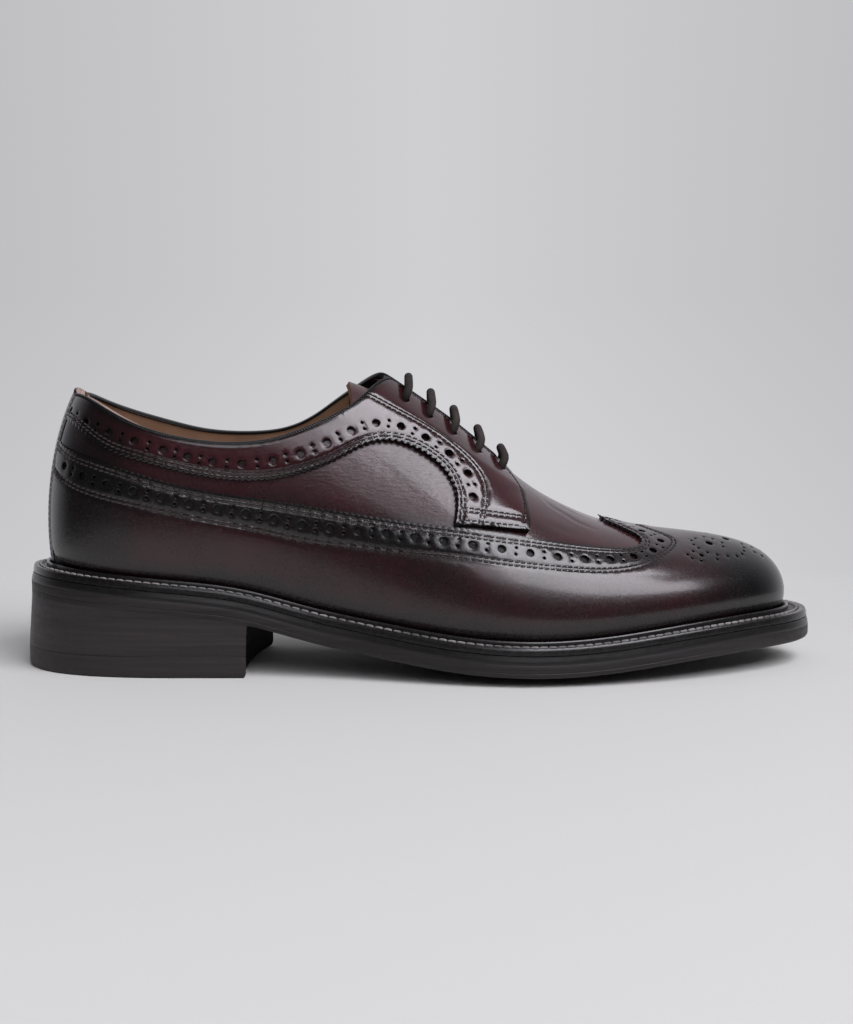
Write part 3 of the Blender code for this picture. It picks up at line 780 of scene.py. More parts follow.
# Thread and cord: light and dark colour, roughness, gloss
THREAD = thread("dark_thread", (0.058, 0.042, 0.042), (0.032, 0.023, 0.023), 0.5, 0.12)
BINDING_THREAD = thread("binding_thread", (0.005, 0.0045, 0.0045), (0.003, 0.0025, 0.0025), 0.4)
WELT_THREAD = thread("welt_thread", (0.29, 0.275, 0.268), (0.11, 0.104, 0.1), 0.45)
LACE_CORD = thread("woven_cord", (0.042, 0.034, 0.031), (0.024, 0.019, 0.0175), 0.8, 0.2)
# Edges: colour, that of their scratches, roughness, coat, gloss
WELT_LEATHER = edge_leather("welt_edge", (0.0032, 0.0028, 0.0028), (0.009, 0.008, 0.0078), 0.40, 0.10)
WELT_GLOSS = edge_leather("welt_gloss", (0.0022, 0.0019, 0.0019), (0.006, 0.0053, 0.0052), 0.24, 0.6)
SOLE_GLOSS_EDGE = edge_leather("sole_gloss", (0.003, 0.0026, 0.0026), (0.009, 0.008, 0.0077), 0.34, 0.3)
SOLE_LEATHER = edge_leather("sole_edge", (0.009, 0.0078, 0.0078), (0.024, 0.021, 0.0205), 0.5, 0.05)
HEEL_LEATHER = edge_leather("heel_edge", (0.0145, 0.0115, 0.0119), (0.034, 0.0282, 0.0286), 0.46, 0.08)
# Painted shade: the breast, in shadow under the arch, is near black and dull
HEEL_BREAST_SHADE = edge_leather("heel_breast", (0.0012, 0.001, 0.001), (0.003, 0.0026, 0.0026), 0.7, 0.0, 0.02)
LIFT_RUBBER = edge_leather("lift_rubber", (0.0155, 0.0128, 0.0128), (0.032, 0.0275, 0.027), 0.5, 0.05)

# Polish, from 0 on bright leather to 1 on black: how much there is and where
POLISH = 0.28
POLISH_TOE = 0.75
POLISH_TOE_X = (246, 289)
POLISH_HEEL = 0.50
POLISH_HEEL_X = (12, 62)
POLISH_WELT = 0.42
POLISH_WELT_HIGH = (1.0, 15.0)
POLISH_HOLE = 0.08
POLISH_HOLE_ROUND = 0.8


def burnish(points):
    """How far the polish has darkened the leather: toe, heel and the line over the welt."""
    toe = POLISH_TOE * smooth(points[:, 0], *POLISH_TOE_X)
    heel = POLISH_HEEL * (1 - smooth(points[:, 0], *POLISH_HEEL_X))
    low = POLISH_WELT * (1 - smooth(points[:, 2] - seat_z(points[:, 0]), *POLISH_WELT_HIGH))
    return POLISH + np.maximum.reduce([toe, heel, low])


def gathered(to_seam, to_hole, share, half):
    """Polish gathered along stitches, with a share and a half width, and round holes."""
    return share * hill(to_seam, half) + POLISH_HOLE * (1 - smooth(to_hole, 0.0, POLISH_HOLE_ROUND))


LARGE_FROM_RADIUS = 1.2
LARGE_HOLE_SIDES = 22
SMALL_HOLE_SIDES = 12
HOLE_START = (0.31, 0.42, 0.85)
HOLE_RIM = 0.42
HOLE_CLEAR = 0.25
SOFT_GAP = 0.28
LOOSE_GAP = 1.0
FLAT_EPSILON = 1e-6
FAR = 9.0


def panel(name, outline, holes, rows, fill, height, floor, paint, material, nodes):
    """Leather piece cut from the skin: an outline, punched holes, stitch grooves, a solid with walls.

    rows are stitch lines as marks, fill the marks that carry its surface, height and paint functions
    of marks and distances.
    """
    rims = []
    rings = []
    for mark, radius in holes:
        count = LARGE_HOLE_SIDES if radius > LARGE_FROM_RADIUS else SMALL_HOLE_SIDES
        angle = np.arange(count) * 2 * math.pi / count
        mark = np.broadcast_to(np.asarray(mark, float), (count, 2))
        up = normal(mark[:, 0], mark[:, 1])
        first = unit(np.cross(up, HOLE_START))
        way = first * np.cos(angle)[:, None] + np.cross(up, first) * np.sin(angle)[:, None]
        rings.append(moved(mark, way * radius))
        rims.append(moved(mark, way * (radius + HOLE_RIM)))
    seam_points = skin(np.concatenate(rows))
    edge_points = skin(outline)
    centres = skin(np.array([mark for mark, _ in holes]))
    radii = np.array([radius for _, radius in holes])

    def clear(marks, gap, others):
        points = skin(marks)
        keep = distance(points, others) > gap
        for centre, radius in zip(centres, radii):
            keep &= np.linalg.norm(points - centre, axis=1) > radius + HOLE_CLEAR
        return marks[keep]

    hard = np.concatenate([outline] + rings)
    hard_points = skin(hard)
    soft = clear(np.concatenate(rims + fill[:-1]), SOFT_GAP, hard_points)
    loose = clear(fill[-1], LOOSE_GAP, np.concatenate([hard_points, skin(soft)]))
    marks = np.concatenate([hard, soft, loose])
    ring_id = np.full(len(marks), -1)
    edges = [(i, (i + 1) % len(outline)) for i in range(len(outline))]
    start = len(outline)
    for number, ring in enumerate(rings):
        count = len(ring)
        ring_id[start : start + count] = number
        edges += [(start + i, start + (i + 1) % count) for i in range(count)]
        start += count
    found = delaunay_2d_cdt(flat(marks).tolist(), edges, [], 1, FLAT_EPSILON)
    source = np.array([origin[0] if origin else -1 for origin in found[3]])
    tris = source[np.array(found[2])]
    tris = tris[(tris >= 0).all(1)]
    same = (ring_id[tris] == ring_id[tris[:, :1]]).all(1) & (ring_id[tris[:, 0]] >= 0)
    tris = tris[~same]
    used, tris = np.unique(tris, return_inverse=True)
    tris = tris.reshape(-1, 3)
    marks = marks[used]
    base = skin(marks)
    facing = np.cross(base[tris[:, 1]] - base[tris[:, 0]], base[tris[:, 2]] - base[tris[:, 0]])
    ups = normal(marks[:, 0], marks[:, 1])
    if (facing * ups[tris[:, 0]]).sum() < 0:
        tris = tris[:, ::-1]
    to_edge = distance(base, edge_points)
    to_seam = distance(base, seam_points)
    to_hole = np.full(len(base), FAR)
    for centre, radius in zip(centres, radii):
        to_hole = np.minimum(to_hole, np.abs(np.linalg.norm(base - centre, axis=1) - radius))
    top = base + ups * height(marks, to_edge, to_seam, to_hole)[:, None]
    bottom = base + ups * floor
    size = len(base)
    ends = np.concatenate([tris[:, [0, 1]], tris[:, [1, 2]], tris[:, [2, 0]]])
    key = np.sort(ends, 1)
    _, index, count = np.unique(key, axis=0, return_inverse=True, return_counts=True)
    border = ends[count[index.reshape(-1)] == 1]
    walls = np.stack([border[:, 1], border[:, 0], border[:, 0] + size, border[:, 1] + size], 1)
    values = paint(base, marks, to_edge, to_seam, to_hole)
    values = {key: np.concatenate([value, np.maximum(value, key == "edge")]) for key, value in values.items()}
    faces = [tris, tris[:, ::-1] + size, walls]
    add_mesh(name, np.concatenate([top, bottom]), faces, [material], nodes, values)


# A stitch's rings: shares of its length from the middle and of its radius
STITCH_RINGS = ((-0.5, 0.3), (-0.3, 1.0), (0.3, 1.0), (0.5, 0.3))
STITCH_SIDES = 5
STITCH_WIDE = 1.15
STITCH_TALL = 0.9
STITCH_TILT = 0.12
SEAM_END = 1.0
ROW_PITCH = 0.5
GROOVE_PITCH = 0.9
GROOVE_ACROSS = (-0.75, -0.35, 0.0, 0.35, 0.75)


def stitches(places, along, up, length=STITCH_LONG, radius=STITCH_RADIUS, tilt=STITCH_TILT):
    """Short capsules at places, as one set of points and faces."""
    along = unit(along)
    side = unit(np.cross(up, along))
    along = unit(along + side * tilt)
    side = unit(np.cross(up, along))
    up = np.cross(along, side)
    points = []
    for place, wide in STITCH_RINGS:
        for k in range(STITCH_SIDES):
            angle = 2 * math.pi * k / STITCH_SIDES
            reach = side * math.cos(angle) * STITCH_WIDE + up * math.sin(angle) * STITCH_TALL
            points.append(places + along * (place * length) + reach * (radius * wide))
    points = np.stack(points, 1)
    count = len(places)
    ring = len(STITCH_RINGS) * STITCH_SIDES
    quads = grid_faces(len(STITCH_RINGS), STITCH_SIDES, True)[:, ::-1]
    caps = np.stack([np.arange(STITCH_SIDES), np.arange(ring - 1, ring - 1 - STITCH_SIDES, -1)])
    starts = (np.arange(count) * ring)[:, None, None]
    faces = [(quads + starts).reshape(-1, 4), (caps + starts).reshape(-1, STITCH_SIDES)]
    return points.reshape(-1, 3), faces


def joined(sets):
    """Sets of points and faces put together."""
    points = np.concatenate([s[0] for s in sets])
    shift = np.cumsum([0] + [len(s[0]) for s in sets])
    kinds = zip(*[[face + start for face in s[1]] for s, start in zip(sets, shift)])
    return points, [np.concatenate(kind) for kind in kinds]


def sewn(trail, left, height):
    """Stitches beside a trail, at a height over the skin: a number, or a function of marks."""
    s = np.arange(SEAM_END, trail.length - SEAM_END, STITCH_PITCH)
    along = trail.frame(s)[1]
    marks = trail.beside(s, left)
    up = normal(marks[:, 0], marks[:, 1])
    return stitches(skin(marks, height(marks) if callable(height) else height), along, up)


def row_marks(trail, left, pitch=ROW_PITCH):
    """Marks set evenly beside a trail."""
    return trail.beside(trail.steps(pitch), left)


def groove_rows(trail, left):
    """Marks over a stitch groove and beside it."""
    return [row_marks(trail, left + across, GROOVE_PITCH) for across in GROOVE_ACROSS]


def hole_row(trail, s):
    """Large holes at places along a trail, with a pair of small ones between each two."""
    holes = [(mark, LARGE_HOLE) for mark in trail.at(s)]
    between = (s[:-1] + s[1:]) / 2
    for left in (-PAIR_HALF, PAIR_HALF):
        holes += [(mark, SMALL_HOLE) for mark in trail.beside(between, left)]
    return holes


# The shell: vamp, quarters and lining in one

SHELL_STEPS = 20
SHELL_ROWS = 64
LINING_ROWS = 26
FACING_LINING_ROWS = 13
FACING_LINING_STATION = 4.85
LINING_ABOVE_T = 0.014
PALE_RIM_STATIONS = (2.0, 3.3)
HEEL_PADDING = 1.15
HEEL_PADDING_STATIONS = (BACKSTAY_STATION, 1.5)
VAMP_STATIONS = (6.8, 9.6)
VAMP_FROM_T = 0.4
CREASE_STEP = 0.8
CREASE_FADE = 9.0
# The raised fold beside a crease, in shares of its depth and half width
FOLD_SHARE = 0.4
FOLD_AT = 2.2
FOLD_WIDE = 1.2
# Where the longwing covers the shell, the painted shade there that the wing's holes show, and a painted
# shadow line along the wing's edge
UNDER_WING_T = (0.008, 0.03)
UNDER_WING_STATIONS = (0.02, 0.1)
HOLE_FLOOR_SHADE = 0.35
HOLE_FLOOR_BLACK_SHADE = 0.5
WING_EDGE_SHADOW = 0.16
WING_EDGE_SHADOW_T = 0.05
WING_EDGE_SHADOW_TO_STATION = 8.9
# Wrinkles of the quarter
QUARTER_BACK = (3.4, 4.6)
QUARTER_FRONT = (6.3, 6.6)
QUARTER_T = (0.3, 0.42)
WRINKLE_LEAST = 0.25


def crease_depth(marks):
    """Soft troughs over the vamp, both sides."""
    points = skin(marks)
    deep = np.zeros(len(points))
    for places, depth, half in CREASES:
        for side in (np.array(places), mirrored(places)):
            trail = Trail(side)
            to = distance(points, skin(trail.at(trail.steps(CREASE_STEP))))
            ends = np.minimum(distance(points, skin(side[:1])), distance(points, skin(side[-1:])))
            trough = hill(to, half) - FOLD_SHARE * hill(to - FOLD_AT * half, FOLD_WIDE * half)
            deep += depth * trough * smooth(ends, 0.0, CREASE_FADE)
    return deep


def pale_rim(w):
    """Share of the collar's rim that the binding leaves pale, on the lateral side of the heel."""
    lateral = smooth(np.where(w < LAST_STATION, w, w - AROUND), *HEEL_TURN)
    return lateral * (1 - smooth(station_of(w), *PALE_RIM_STATIONS))


def make_shell():
    w = np.arange(AROUND * SHELL_STEPS) / SHELL_STEPS
    top = top_t(w)
    share = np.linspace(0, 1, SHELL_ROWS)[:, None]
    outer = np.stack([np.broadcast_to(w, (SHELL_ROWS, len(w))), top * share], -1)
    marks = outer.reshape(-1, 2)
    station = station_of(marks[:, 0])
    vamp = (station > VAMP_STATIONS[0]) & (station < VAMP_STATIONS[1]) & (marks[:, 1] > VAMP_FROM_T)
    height = HEEL_PADDING * (1 - smooth(station, *HEEL_PADDING_STATIONS))
    height[vamp] -= crease_depth(marks[vamp])
    outside = skin(marks, height)
    share = np.linspace(1, 0, LINING_ROWS)[:, None]
    pale = pale_rim(w)
    rim_t = top + LINING_ABOVE_T * pale
    inner = np.stack([np.broadcast_to(w, (LINING_ROWS, len(w))), rim_t * share], -1)
    inside = skin(inner.reshape(-1, 2), -WALL_THICK)
    columns = len(w)
    around = np.arange(columns)
    after = (around + 1) % columns
    rim_at = (SHELL_ROWS - 1) * columns
    is_open = (top < 1) | (top[after] < 1)
    rim = np.stack([rim_at + around, rim_at + after, rim_at + columns + after, rim_at + columns + around], 1)
    last = len(outside) + (LINING_ROWS - 1) * columns
    sole = np.stack([last + around, last + after, after, around], 1)
    skin_faces = grid_faces(SHELL_ROWS, columns, True)
    lining_faces = grid_faces(LINING_ROWS, columns, True, len(outside))
    faces = [skin_faces, rim[is_open], lining_faces, sole]
    points = np.concatenate([outside, inside])
    wing_edge = np.array(WING_EDGE)
    side, peak = wing_edge[: WING_PEAK + 1], wing_edge[WING_PEAK:]
    wing = np.interp(station, side[:, 0], side[:, 1])
    ahead = np.interp(marks[:, 1], peak[:, 1], peak[:, 0])
    below = smooth(wing - marks[:, 1], *UNDER_WING_T)
    under = np.where(station < peak[0, 0], below, smooth(station - ahead, *UNDER_WING_STATIONS))
    quarter = smooth(station, *QUARTER_BACK) * (1 - smooth(station, *QUARTER_FRONT))
    wrinkle = quarter * smooth(marks[:, 1], *QUARTER_T) + WRINKLE_LEAST
    # Painted shadow line on the shell beside the longwing's edge
    crest = WING_EDGE_SHADOW * (1 - smooth(np.abs(wing - marks[:, 1]), 0.0, WING_EDGE_SHADOW_T)) * (station < WING_EDGE_SHADOW_TO_STATION)
    blank = np.zeros(len(inside))
    # Painted shade under the wing, seen through its holes, and the painted shadow line are added to the
    # polish
    values = {
        "burnish": np.concatenate([burnish(outside) + HOLE_FLOOR_SHADE * under + crest, blank]),
        "edge": np.concatenate([HOLE_FLOOR_BLACK_SHADE * under, blank]),
        "wrinkle": np.concatenate([wrinkle, blank]),
    }
    points, faces, first = weld(points, faces)
    values = {key: value[first] for key, value in values.items()}
    materials = [UPPER_LEATHER, LINING, FACING_LINING_AND_HOLE_SHADE, TIP_LEATHER]
    calf, tan, black, raw = range(len(materials))
    # Shell faces under the wing take the black lining as painted shade on the floors of the wing's holes
    skin_kinds = np.where((under[skin_faces] == 1).all(1), black, calf)
    rim_kinds = np.where(pale[is_open] > 0, raw, calf)
    by_throat = (station_of(w) > FACING_LINING_STATION) & (station_of(w) < THROAT_END_STATION)
    lining_kinds = np.full((LINING_ROWS - 1, columns), tan)
    lining_kinds[:FACING_LINING_ROWS, by_throat] = black
    kinds = np.concatenate([skin_kinds, rim_kinds, lining_kinds.ravel(), np.full(columns, tan)])
    add_mesh("upper_shell", points, faces, materials, ["upper"], values, kinds,
             SHELL_SHARP_ANGLE)


make_shell()

# The longwing

WING_TOP = GAP + OVERLAY_THICK
WING_FLOOR = 0.12
EDGE_ROWS = (0.6, 0.95)
WING_SEAM_AT = (1.5, 2.85)
WING_TOE_PITCH = 9.92
WING_TOE_HOLES = 7
WING_SIDE_PITCH = 10.5
WING_SIDE_HOLES = 19
WING_EDGE_DROP = 0.08
FOOT_TUCK = 1.15
FOOT_TUCK_HIGH = (1.0, 12.0)
WING_FOOT_STEPS = 420
WING_BACK_STEPS = 14
# Inner marks: columns, rows, the lowest row's share, and the reach in t over the toe and beside it
WING_COLUMNS = 330
WING_ROWS = 44
WING_LOWEST = 0.02
WING_TOE_STATION = 8.4
WING_TOE_T = 0.98
WING_SIDE_T = 0.52
# Panels: rounding of edge and holes, the stitches' groove, black on the waxed cut edge that is partly painted
# shadow, and painted shade in grooves and holes
EDGE_ROUND = 0.7
HOLE_DROP = 0.11
HOLE_ROUND = 0.45
GROOVE_DEEP = 0.26
GROOVE_HALF = 0.42
EDGE_WAX_AND_SHADOW = 0.9
SEAM_SHADE = 0.85
SEAM_SHADE_HALF = 0.4
HOLE_SHADE = 0.9
HOLE_SHADE_ROUND = 0.25
# Polish of the wing: along its stitches, and over its lower seam
WING_SEAM_POLISH = (0.22, 1.3)
WING_BAND_T = (-0.006, 0.012)
WING_BAND_TO_STATION = 9.0
WING_BAND_DARK = 0.38
WING_BAND_LIGHTER = 0.12
WING_BAND_LIGHTER_STATIONS = (5.2, 7.4)
WING_WRINKLE = 0.12


def edged_height(top, edge_drop):
    """Height of a panel: rounded at its edge and holes, sunk along its stitches."""

    def height(marks, to_edge, to_seam, to_hole):
        edge = edge_drop * (1 - smooth(to_edge, 0.0, EDGE_ROUND))
        hole = HOLE_DROP * (1 - smooth(to_hole, 0.0, HOLE_ROUND))
        return top(marks) - (edge + hole) - GROOVE_DEEP * hill(to_seam, GROOVE_HALF)

    return height


def wax_and_shade(to_edge, to_seam, to_hole):
    """Black on a panel: its waxed cut edge, partly painted shadow of that edge, and painted shade in its
    stitch grooves and holes.
    """
    edge = 1 - smooth(to_edge, 0.0, EDGE_WAX_AND_SHADOW)
    hole = HOLE_SHADE * (1 - smooth(to_hole, 0.0, HOLE_SHADE_ROUND))
    return np.maximum.reduce([edge, SEAM_SHADE * hill(to_seam, SEAM_SHADE_HALF), hole])


def wing_level(marks):
    """Height of the wing's face, which turns in over the welt."""
    base = skin(marks)
    return WING_TOP - FOOT_TUCK * (1 - smooth(base[:, 2] - seat_z(base[:, 0]), *FOOT_TUCK_HIGH))


def paint_wing(base, marks, to_edge, to_seam, to_hole):
    """Point values of the wing: its upper band is darker, less so towards the toe."""
    station = station_of(marks[:, 0])
    seam = np.array(WING_SEAM)[:WING_SEAM_FRONT]
    over = smooth(marks[:, 1] - np.interp(station, seam[:, 0], seam[:, 1]), *WING_BAND_T)
    over = np.where(station > WING_BAND_TO_STATION, 0.0, over)
    band = over * (WING_BAND_DARK - WING_BAND_LIGHTER * smooth(station, *WING_BAND_LIGHTER_STATIONS))
    return {
        "burnish": burnish(base) + band + gathered(to_seam, to_hole, *WING_SEAM_POLISH),
        "edge": wax_and_shade(to_edge, to_seam, to_hole),
        "wrinkle": np.full(len(base), WING_WRINKLE),
    }


def make_wing():
    edge = Trail(both_sides(WING_EDGE))
    seam = Trail(both_sides(WING_SEAM))
    row = Trail(both_sides(WING_HOLES))
    s = np.arange(0, edge.length, TOOTH_PITCH / TOOTH_STEPS)
    top_edge = edge.beside(s, teeth(s))
    foot_w = np.linspace(AROUND - WING_BACK_STATION, WING_BACK_STATION, WING_FOOT_STEPS)
    foot = np.stack([foot_w, np.full(len(foot_w), FOOT_T)], 1)
    rise = np.linspace(0, 1, WING_BACK_STEPS)[1:-1, None]
    back = [foot[-1] + (top_edge[0] - foot[-1]) * rise, top_edge[-1] + (foot[0] - top_edge[-1]) * rise]
    outline = np.concatenate([top_edge, back[1], foot, back[0]])
    toe = WING_TOE_PITCH * (np.arange(WING_TOE_HOLES) + 0.5)
    ahead = np.concatenate([toe, toe[-1] + WING_SIDE_PITCH * np.arange(1, WING_SIDE_HOLES + 1)])
    holes = hole_row(row, row.length / 2 + np.concatenate([-ahead[::-1], ahead]))
    holes += [((w, t), r) for w, t, r in MEDALLION]
    holes += [(mirrored((w, t)), r) for w, t, r in MEDALLION if w < LAST_STATION]
    seams = [(edge, -left) for left in WING_SEAM_AT] + [(seam, left) for left in (-ROW_HALF, ROW_HALF)]
    rows = [row_marks(*line) for line in seams]
    fill = [row_marks(edge, -left) for left in EDGE_ROWS]
    for line in seams:
        fill += groove_rows(*line)
    w = np.linspace(WING_BACK_STATION, AROUND - WING_BACK_STATION, WING_COLUMNS)
    reach = np.where(station_of(w) > WING_TOE_STATION, WING_TOE_T, WING_SIDE_T)
    t = reach * np.linspace(WING_LOWEST, 1, WING_ROWS)[:, None]
    fill.append(np.stack(np.broadcast_arrays(w, t), -1).reshape(-1, 2))
    panel("longwing_leather", outline, holes, rows, fill, edged_height(wing_level, WING_EDGE_DROP),
          WING_FLOOR, paint_wing, WING_LEATHER, ["longwing"])
    points, faces = joined([sewn(*line, WING_TOP - STITCH_SUNK) for line in seams])
    add_mesh("longwing_thread", points, faces, [THREAD])


make_wing()

# Collar bands and facings

BAND_FLOOR = 0.3
BAND_SEAM_AT = (1.5, 2.85)
BAND_FRONT_BULGE = 0.10
BAND_STEPS = 420
BAND_EDGE_DROP = 0.26
FACING_RISE_STATION = 4.4
FACING_RISE_STATIONS = 1.3
FACING_RISE_T = 0.45
FACING_BEND_T = 0.70
FACING_FALL = 1.4
TAB_STATIONS = (5.8, 6.3)
TAB_FOOT_T = (0.42, 0.56)
TAB_SHARE = 0.55
FOOT_EDGE_SHADOW_T = (0.007, 0.013)
BAND_FRONT_STEPS = 44
BAND_BACK_STEPS = 12
BAND_FOOT_PITCH = 0.8
# Inner marks: first and last share of the rows and of the way across, with their counts
BAND_GRID_ROWS = (0.004, 0.996, 330)
BAND_GRID_ACROSS = (0.02, 0.985, 34)
# Polish of the bands
BAND_LIGHTER = 0.08
BAND_HEEL_DARK = 0.12
BAND_HEEL_STATIONS = (1.2, 2.6)
BAND_RIM_DARK = 0.3
BAND_RIM = (0.5, 3.0)
BAND_SEAM_POLISH = (0.2, 1.2)
BAND_WRINKLE = 0.15


def facing_level(marks):
    """Height of a band's face, which rises towards the throat and over the tab."""
    station, t = station_of(marks[..., 0]), marks[..., 1]
    ahead = np.clip((station - FACING_RISE_STATION) / FACING_RISE_STATIONS, 0, 1)
    above = np.clip((t - FACING_RISE_T) / (FACING_BEND_T - FACING_RISE_T), 0, 1)
    foot = (1 - TAB_SHARE) * (1 - smooth(t, *TAB_FOOT_T))
    lifted = TAB_SHARE * np.clip((station - TAB_STATIONS[1]) / (THROAT_END_STATION - TAB_STATIONS[1]), 0, 1)
    tab = smooth(station, *TAB_STATIONS) * (TAB_SHARE / 2 + np.maximum(foot, lifted))
    over = np.clip((t - FACING_BEND_T) / (THROAT_T - FACING_BEND_T), 0, 1)
    fall = FACING_FALL * ahead * over * (2 - over)
    return FACING_GAP + OVERLAY_THICK + FACING_EXTRA * np.maximum(ahead * above, tab) - fall


def band_marks(rows, share, medial):
    """Marks of the collar band: across it from the lower edge to the topline, by rows of the table."""
    table = np.array(BAND_ROWS)
    low_w, low_t, high_w = (spline(np.arange(len(table)), column)(rows) for column in table.T)
    high_t = top_t(AROUND - high_w if medial else high_w)
    bulge = BAND_FRONT_BULGE * smooth(rows, len(table) - 2, len(table) - 1) * 4 * share * (1 - share)
    marks = np.stack([low_w + (high_w - low_w) * share + bulge, low_t + (high_t - low_t) * share], -1)
    return mirrored(marks) if medial else marks


def paint_band(base, marks, to_edge, to_seam, to_hole):
    """Point values of a band: dark at the heel and along its rim, black along the tab's foot as painted
    shadow of its cut edge.
    """
    station = station_of(marks[:, 0])
    heel = BAND_HEEL_DARK * (1 - smooth(station, *BAND_HEEL_STATIONS))
    near = gathered(to_seam, to_hole, *BAND_SEAM_POLISH)
    rim = BAND_RIM_DARK * (1 - smooth(to_edge, *BAND_RIM))
    foot = np.array(BAND_ROWS)[BAND_CORNER:]
    over_foot = marks[:, 1] - np.interp(station, foot[:, 0], foot[:, 1])
    # Painted shadow: black over the tab's face just above its cut foot edge
    foot_edge_shadow = (1 - smooth(over_foot, *FOOT_EDGE_SHADOW_T)) * (station > foot[0, 0])
    return {
        "burnish": burnish(base) - BAND_LIGHTER + heel + near + rim,
        "edge": np.maximum(wax_and_shade(to_edge, to_seam, to_hole), foot_edge_shadow),
        "wrinkle": np.full(len(base), BAND_WRINKLE),
    }


def make_band(name, node, medial):
    turn = mirrored if medial else np.array
    inwards = -1 if medial else 1
    last = len(BAND_ROWS) - 1
    low = Trail(turn([row[:2] for row in BAND_ROWS[: BAND_CORNER + 1]]))
    foot = Trail(turn([row[:2] for row in BAND_ROWS[BAND_CORNER:]]))
    row = Trail(turn(BAND_HOLES))
    s = np.arange(0, low.length, TOOTH_PITCH / TOOTH_STEPS)
    up = np.linspace(0, 1, BAND_FRONT_STEPS)
    down = np.linspace(1, 0, BAND_BACK_STEPS)
    along = np.linspace(last, 0, BAND_STEPS)[1:]
    outline = np.concatenate([
        low.beside(s, -inwards * teeth(s)),
        foot.at(foot.steps(BAND_FOOT_PITCH))[1:-1],
        band_marks(np.full(len(up), float(last)), up, medial),
        band_marks(along, np.ones(len(along)), medial),
        band_marks(np.zeros(len(down)), down, medial)[1:-1],
    ])
    holes = hole_row(row, row.knots)
    holes += [(mark, EYELET_RADIUS) for mark in turn(EYELETS)]
    double = (-ROW_HALF, ROW_HALF)
    lines = [(low, [inwards * left for left in BAND_SEAM_AT])]
    lines += [(Trail(turn(places)), double) for places in (FACING_SEAM, FOOT_SEAM)]
    lines += [(Trail(turn(places)), (0.0,)) for places in (FOOT_EDGE_SEAM, FRONT_SEAM, THROAT_SEAM)]
    seams = [(trail, left) for trail, lefts in lines for left in lefts]
    fill = [row_marks(low, inwards * left) for left in EDGE_ROWS]
    for trail, left in seams:
        fill += groove_rows(trail, left)
    ahead, across = np.linspace(*BAND_GRID_ROWS) * last, np.linspace(*BAND_GRID_ACROSS)
    rows, share = np.meshgrid(ahead, across, indexing="ij")
    fill.append(band_marks(rows.ravel(), share.ravel(), medial))
    panel(name + "_leather", outline, holes, [row_marks(*seam) for seam in seams], fill,
          edged_height(facing_level, BAND_EDGE_DROP), BAND_FLOOR, paint_band, BAND_LEATHER,
          [node])
    points, faces = joined([sewn(*seam, lambda marks: facing_level(marks) - STITCH_SUNK) for seam in seams])
    add_mesh(name + "_thread", points, faces, [THREAD])


make_band("band_lateral", "facing_lateral", False)
make_band("band_medial", "facing_medial", True)

# The backstay

BACKSTAY_TOP = GAP + BACKSTAY_THICK
BACKSTAY_SEAM_W = 0.64
BACKSTAY_SEAM_FOOT_T = 0.06
BACKSTAY_SEAM_END_T = 0.01
BACKSTAY_SEAM_MARKS = 8
BACKSTAY_STITCH_SUNK = 0.1
BACKSTAY_COLUMNS = 61
BACKSTAY_ROWS = 90
BACKSTAY_ROUND_W = 0.09
BACKSTAY_EDGE_DROP = 0.35
BACKSTAY_GROOVE_W = 0.022
BACKSTAY_GROOVE_DEEP = 0.15
BACKSTAY_GROOVE_DARK = 0.3
BACKSTAY_DARK = 0.1
BACKSTAY_WAX = 0.4
BACKSTAY_WRINKLE = 0.1


def slab(top, bottom):
    """Closed solid between two grids of points; its walls come last."""
    rows, columns = top.shape[:2]
    size = rows * columns
    numbers = np.arange(size).reshape(rows, columns)
    border = np.concatenate([numbers[0], numbers[1:, -1], numbers[-1, -2::-1], numbers[-2:0:-1, 0]])
    after = np.roll(border, -1)
    walls = np.stack([after, border, border + size, after + size], 1)
    quads = grid_faces(rows, columns)
    return np.concatenate([top.reshape(-1, 3), bottom.reshape(-1, 3)]), [quads, quads[:, ::-1] + size, walls]


def make_backstay():
    w = np.linspace(-BACKSTAY_STATION, BACKSTAY_STATION, BACKSTAY_COLUMNS)
    share = np.linspace(0, 1, BACKSTAY_ROWS)[:, None]
    t = FOOT_T + (top_t(np.abs(w)) - FOOT_T) * share
    marks = np.stack(np.broadcast_arrays(w, t), -1)
    edge = 1 - smooth(BACKSTAY_STATION - np.abs(w), 0.0, BACKSTAY_ROUND_W)
    groove = hill(np.abs(w) - BACKSTAY_SEAM_W, BACKSTAY_GROOVE_W)
    height = BACKSTAY_TOP - BACKSTAY_EDGE_DROP * edge - BACKSTAY_GROOVE_DEEP * groove
    points, faces = slab(skin(marks, height), skin(marks, WING_FLOOR))
    base = skin(marks).reshape(-1, 3)
    edge, groove = (np.broadcast_to(line, t.shape).ravel() for line in (edge, groove))
    values = {
        "burnish": burnish(base) + BACKSTAY_DARK + BACKSTAY_GROOVE_DARK * groove,
        "edge": BACKSTAY_WAX * edge,
        "wrinkle": np.full(len(base), BACKSTAY_WRINKLE),
    }
    values = {key: np.concatenate([value, value]) for key, value in values.items()}
    add_mesh("backstay_leather", points, faces, [BACK_LEATHER], ["backstay"], values)
    last = top_t(BACKSTAY_SEAM_W) - BACKSTAY_SEAM_END_T
    levels = np.linspace(BACKSTAY_SEAM_FOOT_T, last, BACKSTAY_SEAM_MARKS)
    lines = [Trail([(side, level) for level in levels]) for side in (-BACKSTAY_SEAM_W, BACKSTAY_SEAM_W)]
    points, faces = joined([sewn(line, 0.0, BACKSTAY_TOP - BACKSTAY_STITCH_SUNK) for line in lines])
    add_mesh("backstay_thread", points, faces, [THREAD])


make_backstay()


# The binding: a bead round the collar and along the throat

